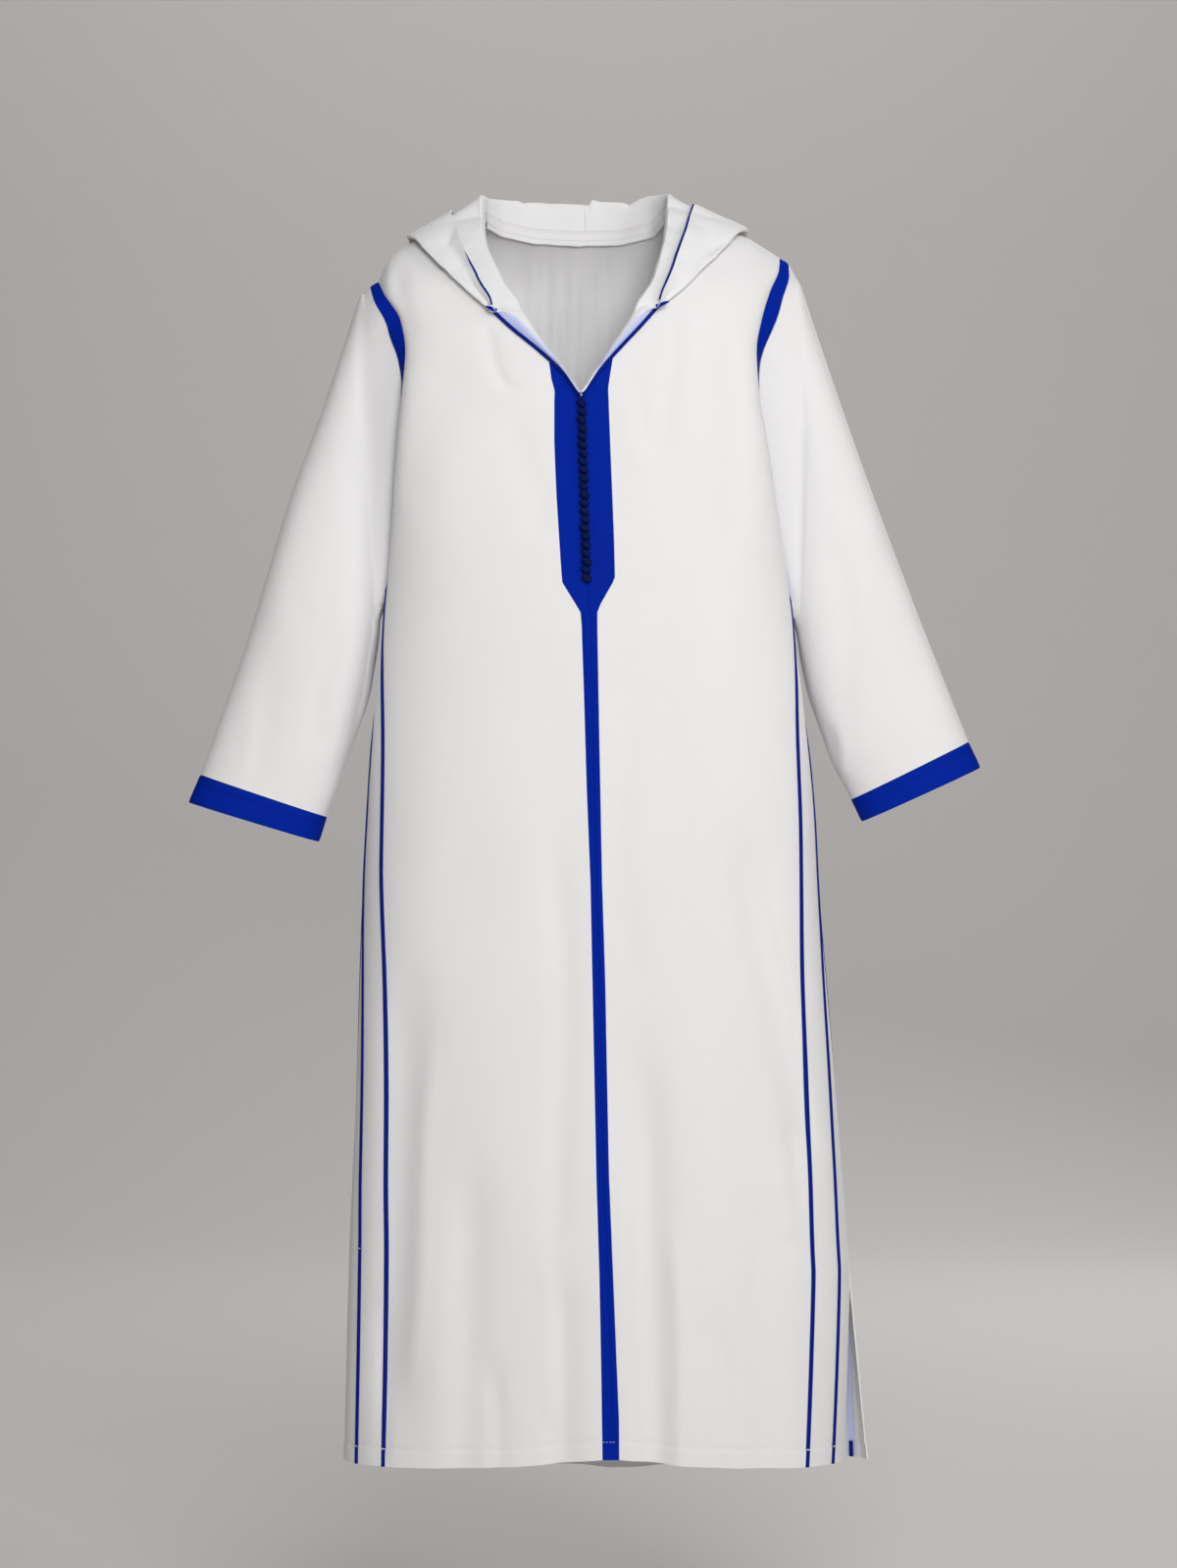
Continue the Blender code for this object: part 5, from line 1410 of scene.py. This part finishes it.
def hood(side, under):
    """Half of the hood, with the piping along its rim. Its front end lies on the facing's points."""
    stations = [hood_walk(station) for station in HOOD[side]]
    places = np.interp(np.linspace(0, len(HOOD_ROWS) - 1, 7 * len(HOOD_ROWS)),
                       range(len(HOOD_ROWS)), HOOD_ROWS)
    walks = between(stations, places)
    share = np.clip((walks[:, 0, 1] - SEAM_START) / SEAM_BLEND, 0, 1)[:, None]
    sewn = nearest(neck_line, walks[:, 0]) + np.array([0, 0, NECK_SEAM])
    step = (sewn - walks[:, 0]) * share
    walks[:, 0] += step
    walks[:, 1] += step * 0.5
    rise = straight(CREST, walks[:, 2, 0]) * np.clip((walks[:, 2, 1] - 12) / 18, 0, 1)
    walks[:, :len(CREST_SHARE), 2] += rise[:, None] * np.array(CREST_SHARE)
    walks = rounder(walks, 2)
    rows, columns = walks.shape[:2]
    lower = int(columns * (5 + len(LOWER_PARTS) + 1.2) / 18)
    clearance = np.interp(np.arange(columns), (lower - 3, lower + 3), (UNDER_CLEAR, OVER_CLEAR))[None]
    moved = clear_of_body(walks, np.broadcast_to(clearance, (rows, columns)))
    keep = np.clip((np.arange(columns) - 8) / 4.0, 0, 1)[None, :, None]
    keep = keep * np.clip((places - 0.3) / 0.7, 0, 1)[:, None, None]
    walks = walks * (1 - keep) + moved * keep
    settle = np.clip(1 - places / HOOD_SETTLES, 0, 1)[:, None] * np.ones(columns)
    settle = eased(settle) * np.clip((lower - 4 - np.arange(columns)) / 5.0, 0, 1)
    for i, j in zip(*np.nonzero(settle)):
        on = under[np.argmin(np.sum((under[:, :3] - walks[i, j]) ** 2, axis=1))]
        walks[i, j] += (on[:3] + on[3:] * 0.35 - walks[i, j]) * settle[i, j]
    half = Cloth(walks)
    half.normal[-1, :, 0] = 0
    half.normal[-1] = unit(half.normal[-1])
    crease_hood(half, side, places)
    rim_start = int(np.argmax(places > 0.35))
    rim = half.grid[rim_start:, -1].copy()
    way = unit(half.grid[rim_start:, -1] - half.grid[rim_start:, -3])
    shown = np.clip((RIM_SHOWS[side] - rim[:, 2]) / 20, 0, 1)
    shown = np.where(rim[:, 1] > 20, 1, shown)[:, None]
    behind = half.grid[:, 0, 1] > TAPE_START
    up = unit(half.grid[:, 6] - half.grid[:, 0])
    tape_rows.append((half.grid[behind, 0], up[behind], half.normal[behind, 3]))
    wall = HOOD_CLOTH * np.clip(places / HOOD_SETTLES, 0.12, 1)[:, None, None]
    half.build("cloth_hood_" + side, ["hood_" + side], hood_white,
               "folded", ["cloth_back_panel"], wall, centred=True)
    wide = np.interp(rim[:, 2], *RIM_WIDTH[side])
    ribbon("cord_rim_" + side, ["rim_" + side], rim - half.normal[rim_start:, -1] * 0.7
           - way * 2.6 * (1 - shown), way, blue_cord, wide, PIPING, -0.2)


def facing(side):
    """Front edge rolled outward over the panel, with its piping, tab and stitching."""
    rows = []
    for row in FACING[side]:
        roll = np.array(row[:3], float)
        edge = np.array(row[3:], float)
        swell = (roll + edge) / 2 + np.array([0, -2.0, 0])
        rows.append([roll + np.array(FACING_TUCK), roll, swell, edge])
    places = np.concatenate([np.linspace(0, 1, 8)[:-1], np.linspace(1, len(rows) - 1, 60)])
    rows = between(rows, places)
    rows[:, -1, 1] = front_face(rows[:, -1, 0], rows[:, -1, 2]) - CLOTH - FACING_LIFT
    rows = rounder(rows, 3)
    cloth = Cloth(rows)
    part = np.clip((places - 0.5) / 4.6, 0, 1)[:, None]
    wide = np.linspace(0, 1, rows.shape[1])[None]
    limit = np.interp(part, *FACING_BLUE)
    cloth.show = SHOWS * np.clip((wide - limit) * 9, 0, 1) * np.clip((0.98 - part) * 25, 0, 1)
    cloth.grid = cloth.grid + cloth.normal * (0.35 * ripples(cloth.grid, 24.0, 2.7)
                                             * np.clip((1 - wide) * 5, 0, 1))[..., None]
    line = cloth.grid[:, -1].copy()
    flat = cloth.grid[:, -1] - cloth.grid[:, -3]
    flat[:, 1] = 0
    column = int(rows.shape[1] * 0.86)
    shown = slice(6, 60)
    seam = (cloth.grid[shown, column].copy(), cloth.normal[shown, column].copy())
    cloth.build("cloth_facing_" + side, ["facing_" + side], hood_white,
                "folded", ["cloth_front_" + side])
    ribbon("cord_edge_" + side, ["edge_" + side], line[:-6] + np.array([0, -0.5, 0]), flat[:-6],
           blue_cord, EDGE_WIDTH, EDGE_SHOWS, -0.6)
    stitches("stitch_edge_" + side, [seam], seam_thread, 1.6, 0.9, 0.22)
    start, end = [np.array(p, float) for p in TAB[side]]
    path = start + (end - start) * np.linspace(0, 1, 7)[:, None]
    path[:, 1] -= 0.8 * np.sin(np.linspace(0, math.pi, 7))
    up = np.tile([0.0, -1.0, 0.25], (7, 1))
    wide = np.interp(np.linspace(0, 1, 7), *TAB_WIDTH)
    ribbon("tab_" + side, [], path, up, blue, wide, 1.1, 0.0)
    across = np.array([0.25 * SIGN[side], 0, 1.0]) * 2.2
    tacks = []
    for share in (0.74, 0.84):
        spot = start + (end - start) * share + np.array([0, -1.1, 0])
        tacks.append((np.array([spot - across, spot, spot + across]), np.tile([0.0, -1.0, 0.2], (3, 1))))
    threads("tack_" + side, tacks, white_thread, 0.4)
    fine = np.concatenate([cloth.grid, cloth.normal], -1)
    for axis in (0, 1):
        fine = np.moveaxis(fine, axis, 0)
        fine = between(fine, np.linspace(0, len(fine) - 1, 4 * len(fine)))
        fine = np.moveaxis(fine, 0, axis)
    return fine[len(fine) // 2:].reshape(-1, 6)


for side in SIGN:
    hood(side, facing(side))

# Tape over the seam inside the back of the neck, from one side to the other
base = np.concatenate([tape_rows[0][0], tape_rows[1][0][::-1]])
rise = np.concatenate([tape_rows[0][1], tape_rows[1][1][::-1]])
inward = np.array([4.0, 0.0, 0.0]) - base
inward[:, 2] = 0
inward = unit(inward - rise * np.sum(inward * rise, axis=1, keepdims=True))
steps = np.array([-4.0, -3.2, -2.0, 0.0, 1.0, 3.0, 6.0, 9.0, 11.5, TAPE_WIDTH])
away = np.interp(steps, (-4, -3.2, 0, 1, 3, TAPE_WIDTH), (1.2, 1.9, 2.0, 1.7, 1.9, 1.7))
wobble = 0.5 * ripples(base, 30.0, 3.3)[:, None]
narrow = np.interp(base[:, 1], (TAPE_START, TAPE_START + 5, TAPE_START + 16), (0.15, 0.4, 1))[:, None]
rows = (base[:, None] + rise[:, None] * (steps[None] * narrow + wobble * narrow)[..., None]
        + inward[:, None] * away[None, :, None])
tape = Cloth(rows)
tape_edge = tape.grid[:, -1] - rise * 5.5 * narrow + inward * 0.5
tape.build("neck_tape", [], hood_white, "stretched", ["cloth_back_panel"], TAPE_CLOTH)
wide = narrow[:, 0] > 0.8
lines = overlock(tape_edge[wide], rise[wide], inward[wide], 4.5)
lines.append((base + rise * 2.0 + inward * 2.5, inward))
threads("stitch_neck", lines, seam_thread, 0.24, 0.15)

# ---------------------------------------------------------------- stitching

stitches("stitch_hem", hem_rows, white_thread, 2.6, 1.2, 0.3)


# ---------------------------------------------------------------- camera, floor and light

CAMERA = (0.0089, -5.0, -0.6155)
PICTURE_HEIGHT = 1.775
camera = placed("camera", bpy.data.cameras.new("camera"))
camera.location = CAMERA
camera.rotation_euler = (math.pi / 2, 0, 0)
camera.data.lens = 36.0 * -CAMERA[1] / PICTURE_HEIGHT
camera.data.clip_end = 100
bpy.context.scene.camera = camera

FLOOR = -1.62
WALL = 7.0
WALL_BEND = 2.5
bend = np.linspace(0, math.pi / 2, 17)
ground = [(-30.0, FLOOR)]
ground += [(WALL - WALL_BEND + WALL_BEND * math.sin(t), FLOOR + WALL_BEND * (1 - math.cos(t)))
           for t in bend]
ground.append((WALL, 9.0))
ground = np.array([[(-20.0, y, z), (20.0, y, z)] for y, z in ground])
mesh = bpy.data.meshes.new("floor")
mesh.from_pydata(ground.reshape(-1, 3), [], face_grid(len(ground), 2))
mesh.shade_smooth()
floor = placed("floor", mesh)
mesh.materials.append(Paint("floor", {"Base Color": (0.66, 0.64, 0.625, 1), "Roughness": 0.95}).made)


def light(name, place, target, size, power, colour=(1, 1, 1)):
    """Soft square light turned to a target."""
    made = placed(name, bpy.data.lights.new(name, "AREA"))
    made.location = place
    way = np.array(target, float) - np.array(place, float)
    made.rotation_euler = (math.atan2(math.hypot(way[0], way[1]), -way[2]), 0,
                           math.atan2(-way[0], way[1]))
    made.data.size = size
    made.data.energy = power
    made.data.color = colour


light("key", (3.4, -3.3, 1.6), (0, 0, -0.5), 1.6, 45, (1.0, 0.995, 0.99))
light("front", (0.6, -4.0, 0.9), (0, 0, -0.5), 1.8, 128, (1.0, 0.992, 0.99))
light("fill", (-3.4, -3.0, 0.4), (0, 0, -0.6), 2.2, 8)
light("top", (0.2, 0.4, 3.0), (0, 0, -0.2), 1.6, 12)
light("back", (1.6, 4.2, 1.6), (0, 0, -0.5), 2.4, 60)
light("wall", (0, 3.4, 4.0), (0, 7.0, 0.2), 3.0, 90)
world = bpy.data.worlds.new("world")
bpy.context.scene.world = world
world.use_nodes = True
world.node_tree.nodes["Background"].inputs["Color"].default_value = (0.98, 0.985, 1.0, 1)
world.node_tree.nodes["Background"].inputs["Strength"].default_value = 0.155
bpy.context.scene.view_settings.view_transform = "Standard"
